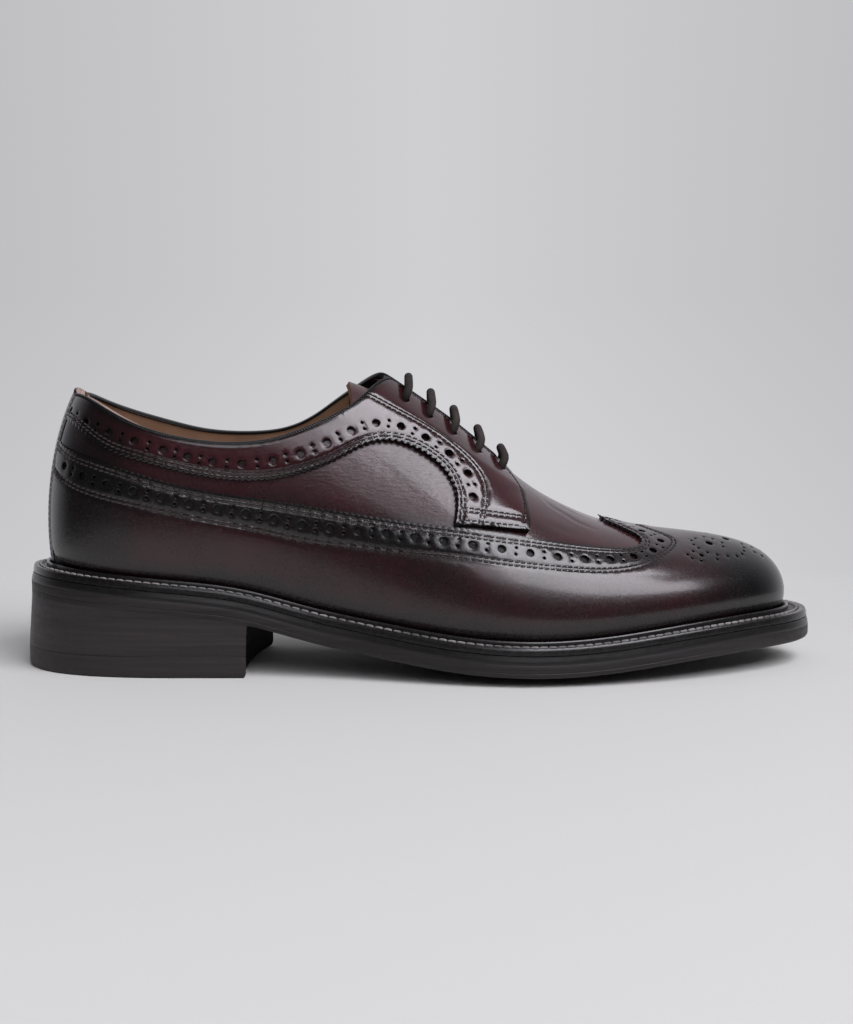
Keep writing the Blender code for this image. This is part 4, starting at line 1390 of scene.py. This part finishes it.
BEAD_STEP = 0.2
BEAD_RIB = 0.07
COLLAR_BEAD = {"inner": -0.5, "above": 0.3, "tall": 0.65}
COVERED_INNER = -2.6
THROAT_BEAD = {"inner": 0.3, "above": 0.15, "tall": 0.75}
BEAD_PROUD = 0.2
BEAD_SIDES = 14
BEAD_END = 3.0
WHIP_PITCH = 1.0
WHIP_LONG = 0.95
WHIP_RADIUS = 0.25
WHIP_OUT = 0.9
WHIP_DOWN = 0.5
WHIP_LEAN = 0.4
BEAD_SAMPLES = 6000
BEAD_END_SHARE = 0.3
# The tip's pale top: its station, sine and cosine round the bead
HEEL_TIP_STATION = 0.5
HEEL_TIP_SINE = 0.3
HEEL_TIP_COSINE = 0.75


def make_binding():
    w = np.linspace(BEAD_FRONT_STATION, -BEAD_FRONT_STATION, BEAD_SAMPLES)
    run = lengths(skin(np.stack([w, top_t(w)], 1)))
    w = np.interp(np.arange(0, run[-1], BEAD_STEP), run, w)
    marks = np.stack([w, top_t(w)], 1)
    throat = smooth(station_of(w), *BEAD_THROAT_STATIONS)
    beads = ((COLLAR_BEAD[key], THROAT_BEAD[key]) for key in COLLAR_BEAD)
    inner, above, tall = (collar + (front - collar) * throat for collar, front in beads)
    inner += (COVERED_INNER - COLLAR_BEAD["inner"]) * (1 - throat) * (1 - pale_rim(w))
    wide = (facing_level(marks) + BEAD_PROUD - inner) / 2
    base = skin(marks, inner + wide)
    run = lengths(base)
    out = normal(w, marks[:, 1])
    along = unit(np.gradient(base, run, axis=0))
    up = unit(np.cross(along, out))
    centre = base + up * above[:, None]
    ends = np.minimum(smooth(run, 0, BEAD_END), smooth(run[-1] - run, 0, BEAD_END))
    ends = BEAD_END_SHARE + (1 - BEAD_END_SHARE) * ends
    ends *= 1 - BEAD_RIB + BEAD_RIB * np.abs(np.sin(math.pi * run / WHIP_PITCH))
    angle = np.arange(BEAD_SIDES) * 2 * math.pi / BEAD_SIDES
    across = (wide * ends)[:, None] * np.cos(angle)
    rise = (tall * ends)[:, None] * np.sin(angle)
    rings = centre[:, None] + out[:, None] * across[..., None] + up[:, None] * rise[..., None]
    quads = grid_faces(len(w), BEAD_SIDES, True)
    caps = np.stack([np.arange(BEAD_SIDES)[::-1], np.arange(BEAD_SIDES) + (len(w) - 1) * BEAD_SIDES])
    points = rings.reshape(-1, 3)
    upper = (np.sin(angle) > HEEL_TIP_SINE) & (np.cos(angle) < HEEL_TIP_COSINE)
    tip = (station_of(w) < HEEL_TIP_STATION)[:-1, None] & upper
    kinds = np.concatenate([tip.ravel().astype(int), [0, 0]])
    add_mesh("collar_bead", points, [quads, caps], [BINDING_LEATHER, TIP_LEATHER], ["collar_binding"],
             kinds=kinds)
    s = np.arange(BEAD_END, run[-1] - BEAD_END, WHIP_PITCH)

    def at(rows):
        return np.stack([np.interp(s, run, column) for column in rows.T], 1)

    places = at(centre + out * wide[:, None] * WHIP_OUT - up * tall[:, None] * WHIP_DOWN)
    points, faces = stitches(places, at(along * WHIP_LEAN + up), at(out), WHIP_LONG, WHIP_RADIUS)
    add_mesh("collar_thread", points, faces, [BINDING_THREAD])


make_binding()


# The tongue

TONGUE_TOP_ROWS = ((28.0, 8.8, 0.86), (18.5, 6.2, 0.93), (9.0, 3.2, 0.98))
TONGUE_STATIONS = (5.7, 5.95, 6.2, 6.4, 6.6, 6.8, 7.05, 7.3)
TONGUE_DEPTH = 2.8
TONGUE_EDGE_T = 0.62
TONGUE_THICK = 2.0
TONGUE_RIBS = 5
TONGUE_FINE = (90, 61)
TONGUE_DARK = 0.2
TONGUE_WRINKLE = 0.5


def finer(grid, rows, columns):
    """Grid of points made finer by curves along it and across."""
    down = np.linspace(0, grid.shape[0] - 1, rows)
    over = np.linspace(0, grid.shape[1] - 1, columns)
    steps = np.arange(grid.shape[0])
    tall = np.stack([[spline(steps, grid[:, j, k])(down) for k in range(3)] for j in range(grid.shape[1])])
    steps = np.arange(grid.shape[1])
    wide = [[spline(steps, tall[:, k, i])(over) for k in range(3)] for i in range(rows)]
    return np.array(wide).transpose(0, 2, 1)


def make_tongue():
    t = np.linspace(TONGUE_EDGE_T, 1, TONGUE_RIBS)
    t = np.concatenate([t, t[-2::-1]])
    middle = TONGUE_RIBS - 1
    stations = np.array(TONGUE_STATIONS)
    w = np.stack([stations] * TONGUE_RIBS + [AROUND - stations] * middle, 1)
    marks = np.stack([w, np.broadcast_to(t, w.shape)], -1)
    grids = []
    for depth in (TONGUE_DEPTH, TONGUE_DEPTH + TONGUE_THICK):
        held = skin(marks, -depth)
        way = unit(held[0, middle] - held[1, middle])
        free = []
        for length, drop, width in TONGUE_TOP_ROWS:
            row = held[0] + way * length
            row[:, 1] = row[middle, 1] + (row[:, 1] - row[middle, 1]) * width
            row[:, 2] -= drop
            free.append(row)
        grids.append(finer(np.concatenate([free, held]), *TONGUE_FINE))
    points, faces = slab(*grids)
    top, column = grids[0], TONGUE_FINE[1] // 2
    if np.cross(top[1, column] - top[0, column], top[0, column + 1] - top[0, column])[2] > 0:
        faces = [face[:, ::-1] for face in faces]
    zero = np.zeros(len(points))
    values = {"burnish": zero + TONGUE_DARK, "edge": zero, "wrinkle": zero + TONGUE_WRINKLE}
    kinds = np.repeat([0, 1, 2], [len(face) for face in faces])
    add_mesh("tongue_leather", points, faces, [TONGUE_LEATHER, LINING, CUT_EDGE], ["tongue"],
             values, kinds)


make_tongue()


# The sock

SOCK_COLUMNS = 360
SOCK_ROWS = 12
SOCK_CLEAR = 0.6
SOCK_HOLLOW = 0.5
SOCK_HOLLOW_SHARE = 0.6
SOCK_EDGE_DROP = 0.5


def make_sock():
    w = np.arange(SOCK_COLUMNS) * AROUND / SOCK_COLUMNS
    edge = sole_inset(w, section_at(w / AROUND)[:, INSET] + WALL_THICK + SOCK_CLEAR)
    middle = spine(w)[0][:, :2]
    rows = []
    for share in np.linspace(1, 0, SOCK_ROWS):
        plan = edge + (middle - edge) * share
        hollow = SOCK_HOLLOW * smooth(share, 0.0, SOCK_HOLLOW_SHARE)
        rise = INSOLE_THICK - hollow - SOCK_EDGE_DROP * (share == 0)
        rows.append(np.column_stack([plan, seat_z(plan[:, 0]) + rise]))
    rows.append(np.column_stack([edge, seat_z(edge[:, 0])]))
    rows.append(np.column_stack([middle, seat_z(middle[:, 0])]))
    points, faces, _ = weld(np.concatenate(rows), [grid_faces(len(rows), SOCK_COLUMNS, True)[:, ::-1]])
    add_mesh("sock_leather", points, faces, [SOCK], ["insole"])


make_sock()


# The laces

LACE_SIDES = 36
LACE_STEP = 0.25
LACE_STRANDS = 6
LACE_TWIST = 5.0
LACE_WEAVE = 0.10
LACE_LIFT = 4.75
LACE_ENTRY = 0.016
LACE_START = (0.2, 0.1, 1.0)
# Half of a bar, from under its eyelet: t past the entry, height over the skin
LACE_ROUTE = ((0.0, -2.4), (0.0, 0.6), (0.005, 3.0), (0.026, 4.5), (0.05, LACE_LIFT))
LACE_TOP_MARKS = 4


def cord_mesh(path):
    """Braided cord along a path of closely set points."""
    along = unit(np.gradient(path, axis=0))
    side = np.cross(along[0], LACE_START)
    angle = np.arange(LACE_SIDES) * 2 * math.pi / LACE_SIDES
    rings = []
    for k, (point, way) in enumerate(zip(path, along)):
        side = unit(side - way * np.dot(side, way))
        other = np.cross(way, side)
        turn = math.pi * k * LACE_STEP * LACE_STRANDS / LACE_TWIST
        strands = np.cos(LACE_STRANDS * angle + turn) * np.cos(LACE_STRANDS * angle - turn)
        radius = LACE_RADIUS * (1 - LACE_WEAVE + LACE_WEAVE * np.abs(strands))
        across, over = radius * np.cos(angle), radius * np.sin(angle)
        rings.append(point + across[:, None] * side + over[:, None] * other)
    count = len(rings)
    caps = np.stack([np.arange(LACE_SIDES)[::-1], np.arange(LACE_SIDES) + (count - 1) * LACE_SIDES])
    return np.concatenate(rings), [grid_faces(count, LACE_SIDES, True), caps]


def make_laces():
    for number, (w, t) in enumerate(EYELETS, 1):
        near = [(t + LACE_ENTRY + past, lift) for past, lift in LACE_ROUTE]
        near += [(level, LACE_LIFT) for level in np.linspace(near[-1][0], THROAT_T, LACE_TOP_MARKS)[1:]]
        lateral = np.array([skin((w, level), lift) for level, lift in near])
        medial = np.array([skin((AROUND - w, level), lift) for level, lift in near])
        marks = np.concatenate([lateral, medial[::-1]])
        chord = lengths(marks)
        curve = [spline(chord, marks[:, k]) for k in range(3)]
        s = np.arange(0, chord[-1], LACE_STEP)
        points, faces = cord_mesh(np.stack([c(s) for c in curve], 1))
        add_mesh(f"lace_cord_{number}", points, faces, [LACE_CORD], [f"lace_bar_{number}"])


make_laces()


# Welt, sole and heel

SOLE_COLUMNS = 720
SOLE_SAMPLES = 4001
WELT_CLEAR = 1.7
WELT_BACK_CLEAR = 2.4
WELT_BACK_STATIONS = (0.9, 1.1)
# The lip's inner side: share of the way down to its foot, height
WELT_INSIDE = (0.15, 3.4)
WELT_LIP_FOOT = 1.2
WELT_RIM_DROP = 0.08
WHEEL_PITCH = 3.4
WHEEL_DEEP = 0.10
WHEEL_FROM = 0.8
WELT_STITCH_LONG = 3.0
WELT_STITCH_RADIUS = 0.5
WELT_STITCH_HIGH = 2.5

# The welt's lip: distance outwards, height
WELT_LIP = ((0.2, 3.9), (0.5, 4.1), (0.8, 4.08), (1.02, 3.86), (1.12, 3.5), (WELT_LIP_FOOT, 2.4))
# Its top: share of the way to the rim, height
WELT_TOP = ((0.1, 2.36), (0.3, 2.44), (0.4, 2.34), (0.5, 2.24), (0.6, 2.34), (0.72, 2.48), (0.88, 2.55))
# Its edge: inset, height
WELT_RIM_INSET = 1.5
WELT_EDGE = ((1.3, 2.56), (1.14, 2.3), (0.98, 1.95), (0.88, 1.5), (0.74, 0.5), (0.7, 0.0))
# The outsole's edge, from the welt down: inset, height over its lower edge
SOLE_GLOSS = ((0.68, 8.0), (0.6, 7.6), (0.5, 7.2), (0.26, 6.3), (0.04, 5.3), (0.1, 5.1))
SOLE_MATT = ((0.10, 4.95), (0.0, 4.8), (0.0, 2.2), (0.04, 2.05), (0.14, 1.95), (0.04, 1.85), (0.0, 1.7))
SOLE_BEVEL = ((0.1, 1.0), (0.5, 0.35), (1.2, 0.0))
# The bevel begins at the heel's breast; the underside's rows by their share of the way inwards
SOLE_FREE_X = (BREAST_LATERAL_X - 2, BREAST_LATERAL_X + 5)
CROWN_SHARES = (0.08, 0.16, 0.3, 0.45, 0.6, 0.8, 1.0)


def sole_columns():
    """Stations set evenly along the sole's edge, with the length run so far."""
    w = np.linspace(0, AROUND, SOLE_SAMPLES)
    run = lengths(sole_edge(w / AROUND))
    s = np.arange(SOLE_COLUMNS) * run[-1] / SOLE_COLUMNS
    return np.interp(s, run, w), s, run[-1]


def make_welt():
    w, s, length = sole_columns()
    edge = sole_edge(w / AROUND)
    low = seat_z(edge[:, 0])
    lip_t = WELT_LIP_HIGH / (spine(w)[0][:, 2] - low) / (3 * section_at(w / AROUND)[:, WALL])
    clear = WELT_CLEAR + (WELT_BACK_CLEAR - WELT_CLEAR) * (1 - smooth(station_of(w), *WELT_BACK_STATIONS))
    foot = skin(np.stack([w, 0 * w], 1), clear)[:, :2]
    lip = skin(np.stack([w, lip_t], 1), clear)[:, :2]
    outwards = unit(edge - foot)
    count = round(length / WHEEL_PITCH)
    wheel = WHEEL_DEEP * np.cos(2 * math.pi * count * s / length)

    def row(plan, rise):
        return np.column_stack([plan, low + rise])

    rim = sole_inset(w, np.full(len(w), WELT_RIM_INSET))
    lip_foot = lip + outwards * WELT_LIP_FOOT
    rows = [row(foot, 0.0), row(lip + (foot - lip) * WELT_INSIDE[0], WELT_INSIDE[1])]
    rows += [row(lip + outwards * out, rise) for out, rise in WELT_LIP]
    for share, rise in WELT_TOP:
        rows.append(row(lip_foot + (rim - lip_foot) * share, rise + wheel * (share > WHEEL_FROM)))
    rows.append(row(rim, WELT_THICK - WELT_RIM_DROP + wheel))
    rows += [row(sole_inset(w, np.full(len(w), inset)), rise) for inset, rise in WELT_EDGE]
    rows.append(row(foot, 0.0))
    points, faces, _ = weld(np.concatenate(rows), [grid_faces(len(rows), SOLE_COLUMNS, True)[:, ::-1]])
    is_shiny = np.zeros(len(rows) - 1, bool)
    is_shiny[1 : len(WELT_LIP)] = True
    is_shiny[len(WELT_LIP) + len(WELT_TOP) : -1] = True
    add_mesh("storm_welt", points, faces, [WELT_LEATHER, WELT_GLOSS], ["welt"],
             kinds=np.repeat(is_shiny, SOLE_COLUMNS))
    turn = np.arange(count) * length / count
    middle = row((lip_foot + rim) / 2, WELT_STITCH_HIGH)
    places = np.stack([np.interp(turn, s, column, period=length) for column in middle.T], 1)
    along = np.roll(places, -1, 0) - np.roll(places, 1, 0)
    up = np.broadcast_to((0.0, 0.0, 1.0), places.shape)
    points, faces = stitches(places, along, up, WELT_STITCH_LONG, WELT_STITCH_RADIUS, 0.0)
    add_mesh("welt_thread", points, faces, [WELT_THREAD])


def make_outsole():
    w, _, _ = sole_columns()
    edge = sole_edge(w / AROUND)
    low = edge_z_at(edge[:, 0])
    station = station_of(w)
    middle = spine((station + np.roll(station[::-1], 1)) / 2)[0][:, :2]
    free = smooth(edge[:, 0], *SOLE_FREE_X)
    rows = [np.column_stack([middle, edge_z_at(middle[:, 0]) + OUTSOLE_THICK])]
    for inset, rise in SOLE_GLOSS + SOLE_MATT:
        rows.append(np.column_stack([sole_inset(w, np.full(len(w), inset)), low + rise]))
    for inset, rise in SOLE_BEVEL:
        rows.append(np.column_stack([sole_inset(w, inset * free), low + rise]))
    for share in CROWN_SHARES:
        plan = edge + (middle - edge) * share
        crown = crown_at(plan[:, 0]) * (1 - (1 - share) ** 2)
        rows.append(np.column_stack([plan, np.maximum(edge_z_at(plan[:, 0]) - crown, 0.0)]))
    kinds = np.repeat(np.arange(len(rows) - 1) > len(SOLE_GLOSS), SOLE_COLUMNS)
    points, faces, _ = weld(np.concatenate(rows), [grid_faces(len(rows), SOLE_COLUMNS, True)[:, ::-1]])
    add_mesh("outsole_leather", points, faces, [SOLE_GLOSS_EDGE, SOLE_LEATHER], ["outsole"],
             kinds=kinds)


HEEL_SIDE_STEPS = 70
BREAST_STEPS = 40
BREAST_LATERAL_STATION = 3.71
BREAST_MEDIAL_STATION = 3.80
BREAST_ROUND = 2.6
HEEL_LAYERS = (0.36, 0.68)
HEEL_LAYER_DEEP = 0.05
HEEL_LAYER_HALF = 0.018
HEEL_LAYER_REACH = 0.04
HEEL_LAYER_RINGS = 5
HEEL_RINGS = 15
HEEL_CLEAR = 0.02
LIFT_CLEAR = 0.1
# The top lift's edge: inset, height
LIFT_EDGE = ((0.12, 8.0), (0.0, 7.85), (0.0, 4.0), (0.0, 2.2), (0.08, 1.2), (0.28, 0.4), (0.7, 0.0))


def heel_plan(share, inset=0.0):
    """Closed outline of the heel at a share of its height from the top: near side, far side, breast."""

    def side(stations, medial):
        ahead = np.minimum(1.0, stations / HEEL_FLARE_STATION)
        off = share * (HEEL_SIDE_TAPER * ahead - HEEL_BACK_FLARE * (1 - ahead)) + inset
        return sole_inset(AROUND - stations if medial else stations, off)

    near = side(np.linspace(BREAST_LATERAL_STATION, 0, HEEL_SIDE_STEPS), False)
    far = side(np.linspace(0, BREAST_MEDIAL_STATION, HEEL_SIDE_STEPS), True)[1:]
    back = BREAST_ROUND * inset + BREAST_LEAN * share
    near[0, 0], far[-1, 0] = BREAST_LATERAL_X - back, BREAST_MEDIAL_X - back
    across = np.linspace(0, 1, BREAST_STEPS)[1:-1, None]
    breast = far[-1] + (near[0] - far[-1]) * across
    breast[:, 0] -= (BREAST_HOLLOW * 4 * across * (1 - across))[:, 0]
    return np.concatenate([near, far, breast])


def solid_rings(name, rings, material, node):
    """Closed solid from rings, top to bottom."""
    columns = len(rings[0])
    last = (len(rings) - 1) * columns
    quads = grid_faces(len(rings), columns, True)[:, ::-1]
    caps = np.stack([np.arange(columns), np.arange(columns)[::-1] + last])
    # Breast faces take the near-black breast material as painted shade
    breast = np.tile(np.arange(columns) > columns - BREAST_STEPS, len(rings) - 1)
    kinds = np.concatenate([breast, [False, False]])
    add_mesh(name, np.concatenate(rings), [quads, caps], [material, HEEL_BREAST_SHADE], [node], kinds=kinds)


def make_heel():
    near = np.linspace(-HEEL_LAYER_REACH, HEEL_LAYER_REACH, HEEL_LAYER_RINGS)
    layers = [layer + near for layer in HEEL_LAYERS]
    rings = []
    for share in np.unique(np.concatenate([np.linspace(0, 1, HEEL_RINGS), *layers])):
        groove = sum(HEEL_LAYER_DEEP * hill(share - layer, HEEL_LAYER_HALF) for layer in HEEL_LAYERS)
        plan = heel_plan(share, groove + HEEL_CLEAR)
        top = edge_z_at(plan[:, 0]) - HEEL_CLEAR
        rings.append(np.column_stack([plan, top + (TOP_LIFT_THICK + LIFT_CLEAR - top) * share]))
    solid_rings("heel_leather", rings, HEEL_LEATHER, "heel_stack")
    plans = [(heel_plan(1.0, inset), z) for inset, z in LIFT_EDGE]
    rings = [np.column_stack([plan, np.full(len(plan), z)]) for plan, z in plans]
    solid_rings("lift_rubber", rings, LIFT_RUBBER, "top_lift")


make_welt()
make_outsole()
make_heel()


# Studio, in metres: a pale floor that fades into the backdrop, softboxes from the camera's right

FLOOR_END = 1.1
FLOOR_BACK = (0.08, 0.26)
FLOOR_FRONT = (-0.46, -0.33)
FLOOR_SIDE = (0.5, 0.36)
FLOOR_CORNERS = 128
FLOOR_COLOUR = (0.635, 0.636, 0.61, 1.0)
PAPER_GRAIN = (500.0, 3.0)
PAPER_BUMP = (0.05, 0.0002)


def make_floor():
    """Round floor that fades out to all sides."""
    angle = np.arange(FLOOR_CORNERS) * 2 * math.pi / FLOOR_CORNERS
    mesh = bpy.data.meshes.new("floor")
    ring = np.stack([FLOOR_END * np.cos(angle), FLOOR_END * np.sin(angle), 0 * angle], 1)
    mesh.from_pydata(ring.tolist(), [], [list(range(FLOOR_CORNERS))])
    shade = Shade("paper", Base_Color=FLOOR_COLOUR, Roughness=0.75, Specular_IOR_Level=0.2)
    split = shade.add("SeparateXYZ", {0: shade.place})
    front = shade.span(split.outputs["Y"], *FLOOR_FRONT, 0.0, 1.0)
    side = shade.span(shade.math("ABSOLUTE", split.outputs["X"]), *FLOOR_SIDE, 0.0, 1.0)
    back = shade.span(split.outputs["Y"], *FLOOR_BACK, 1.0, 0.0)
    shade.set(Alpha=shade.math("MULTIPLY", shade.math("MULTIPLY", front, side), back))
    shade.bump((shade.noise(*PAPER_GRAIN), *PAPER_BUMP))
    mesh.materials.append(shade.material)
    floor = bpy.data.objects.new("floor", mesh)
    bpy.context.scene.collection.objects.link(floor)


LIGHT_DISTANCE = 2.5
LIGHT_COLOUR = (1.0, 0.985, 1.05)
# Azimuth and elevation in degrees
KEY_WAY = (42, 45)
FILL_WAY = (0, 90)
# Parts of the key light: shift and size in shares of the distance, radiance
KEY_LIGHTS = (
    ("key_low", (-0.10, -0.13), (1.08, 0.26), 6.0),
    ("key_mid", (-0.10, 0.10), (0.70, 0.20), 7.4),
    ("key_high", (-0.03, 0.28), (0.80, 0.17), 9.0),
    ("key_left", (-0.86, -0.16), (0.44, 0.30), 2.6),
)
FILL_SIZE = (1.8, 1.8)
FILL_RADIANCE = 0.2


def add_softbox(name, azimuth, elevation, shift, size, radiance, glossy=True):
    """Area light facing the shoe; azimuth 0 stands behind the camera, 90 beyond the toe.

    Shift and size are shares of its distance.
    """
    a, e = math.radians(azimuth), math.radians(elevation)
    way = np.array([math.sin(a) * math.cos(e), -math.cos(a) * math.cos(e), math.sin(e)])
    right = np.array([math.cos(a), math.sin(a), 0.0])
    up = np.cross(way, right)
    light = bpy.data.lights.new(name, "AREA")
    light.shape = "RECTANGLE"
    light.color = LIGHT_COLOUR
    light.size, light.size_y = (LIGHT_DISTANCE * side for side in size)
    light.energy = radiance * math.pi * light.size * light.size_y
    box = bpy.data.objects.new(name, light)
    matrix = np.eye(4)
    matrix[:3, :3] = np.stack([right, up, way], 1)
    matrix[:3, 3] = LIGHT_DISTANCE * (way + right * shift[0] + up * shift[1])
    box.matrix_world = Matrix(matrix.tolist())
    box.visible_camera = False
    box.visible_glossy = glossy
    bpy.context.scene.collection.objects.link(box)


BACKDROP = (0.625, 0.62, 0.642, 1.0)
# Painted shade darkening the backdrop towards the sides, and painted light at its foot
BACKDROP_SIDE_SHADE = 0.55
BACKDROP_FOOT_LIGHT = 1.16
ROOM_FRONT = 0.06
ROOM_BACK = 0.62
ROOM_SOFT = 0.08
# Directions over which the room turns pale, and over which painted light brightens the backdrop towards its
# foot
ROOM_TURN_Y = (-0.05, 0.5)
BACKDROP_FOOT_LIGHT_Z = (-0.2, 0.06)

# Camera: millimetres, metres, degrees from straight down
LENS = 50
SENSOR = 36
CAMERA_PLACE = (0.0021227, -0.549831, 0.1089875)
CAMERA_TILT = 84.732


def make_world():
    """Backdrop with painted shade to the sides and painted light towards its foot; in reflections, dark in
    front and pale behind.
    """
    world = bpy.data.worlds.new("studio")
    world.use_nodes = True
    graph = Graph(world.node_tree)
    way = graph.add("SeparateXYZ", {0: graph.add("TexCoord").outputs["Generated"]}).outputs
    room = graph.span(way["Y"], *ROOM_TURN_Y, ROOM_FRONT, ROOM_BACK)
    # Painted shade to the sides and painted light at the foot of the backdrop, as the camera sees it
    side_shade = graph.span(graph.math("ABSOLUTE", way["X"]), 0.0, 1.0, 1.0, 1.0 - BACKDROP_SIDE_SHADE)
    foot = graph.span(way["Z"], *BACKDROP_FOOT_LIGHT_Z, BACKDROP_FOOT_LIGHT, 1.0)
    ray = graph.add("LightPath").outputs
    soft = graph.blend(ray["Is Diffuse Ray"], room, ROOM_SOFT)
    strength = graph.blend(ray["Is Camera Ray"], soft, graph.math("MULTIPLY", side_shade, foot))
    background = graph.tree.nodes["Background"].inputs
    graph.put(background["Strength"], strength)
    graph.put(background["Color"], graph.mix(ray["Is Camera Ray"], (*LIGHT_COLOUR, 1.0), BACKDROP))
    bpy.context.scene.world = world


make_floor()
make_world()
for name, shift, size, radiance in KEY_LIGHTS:
    add_softbox(name, *KEY_WAY, shift, size, radiance)
add_softbox("fill", *FILL_WAY, (0.0, 0.0), FILL_SIZE, FILL_RADIANCE, False)
bpy.context.scene.view_settings.view_transform = "Standard"

camera_data = bpy.data.cameras.new("camera")
camera_data.lens = LENS
camera_data.sensor_width = SENSOR
camera = bpy.data.objects.new("camera", camera_data)
camera.location = CAMERA_PLACE
camera.rotation_euler = (math.radians(CAMERA_TILT), 0, 0)
bpy.context.scene.collection.objects.link(camera)
bpy.context.scene.camera = camera
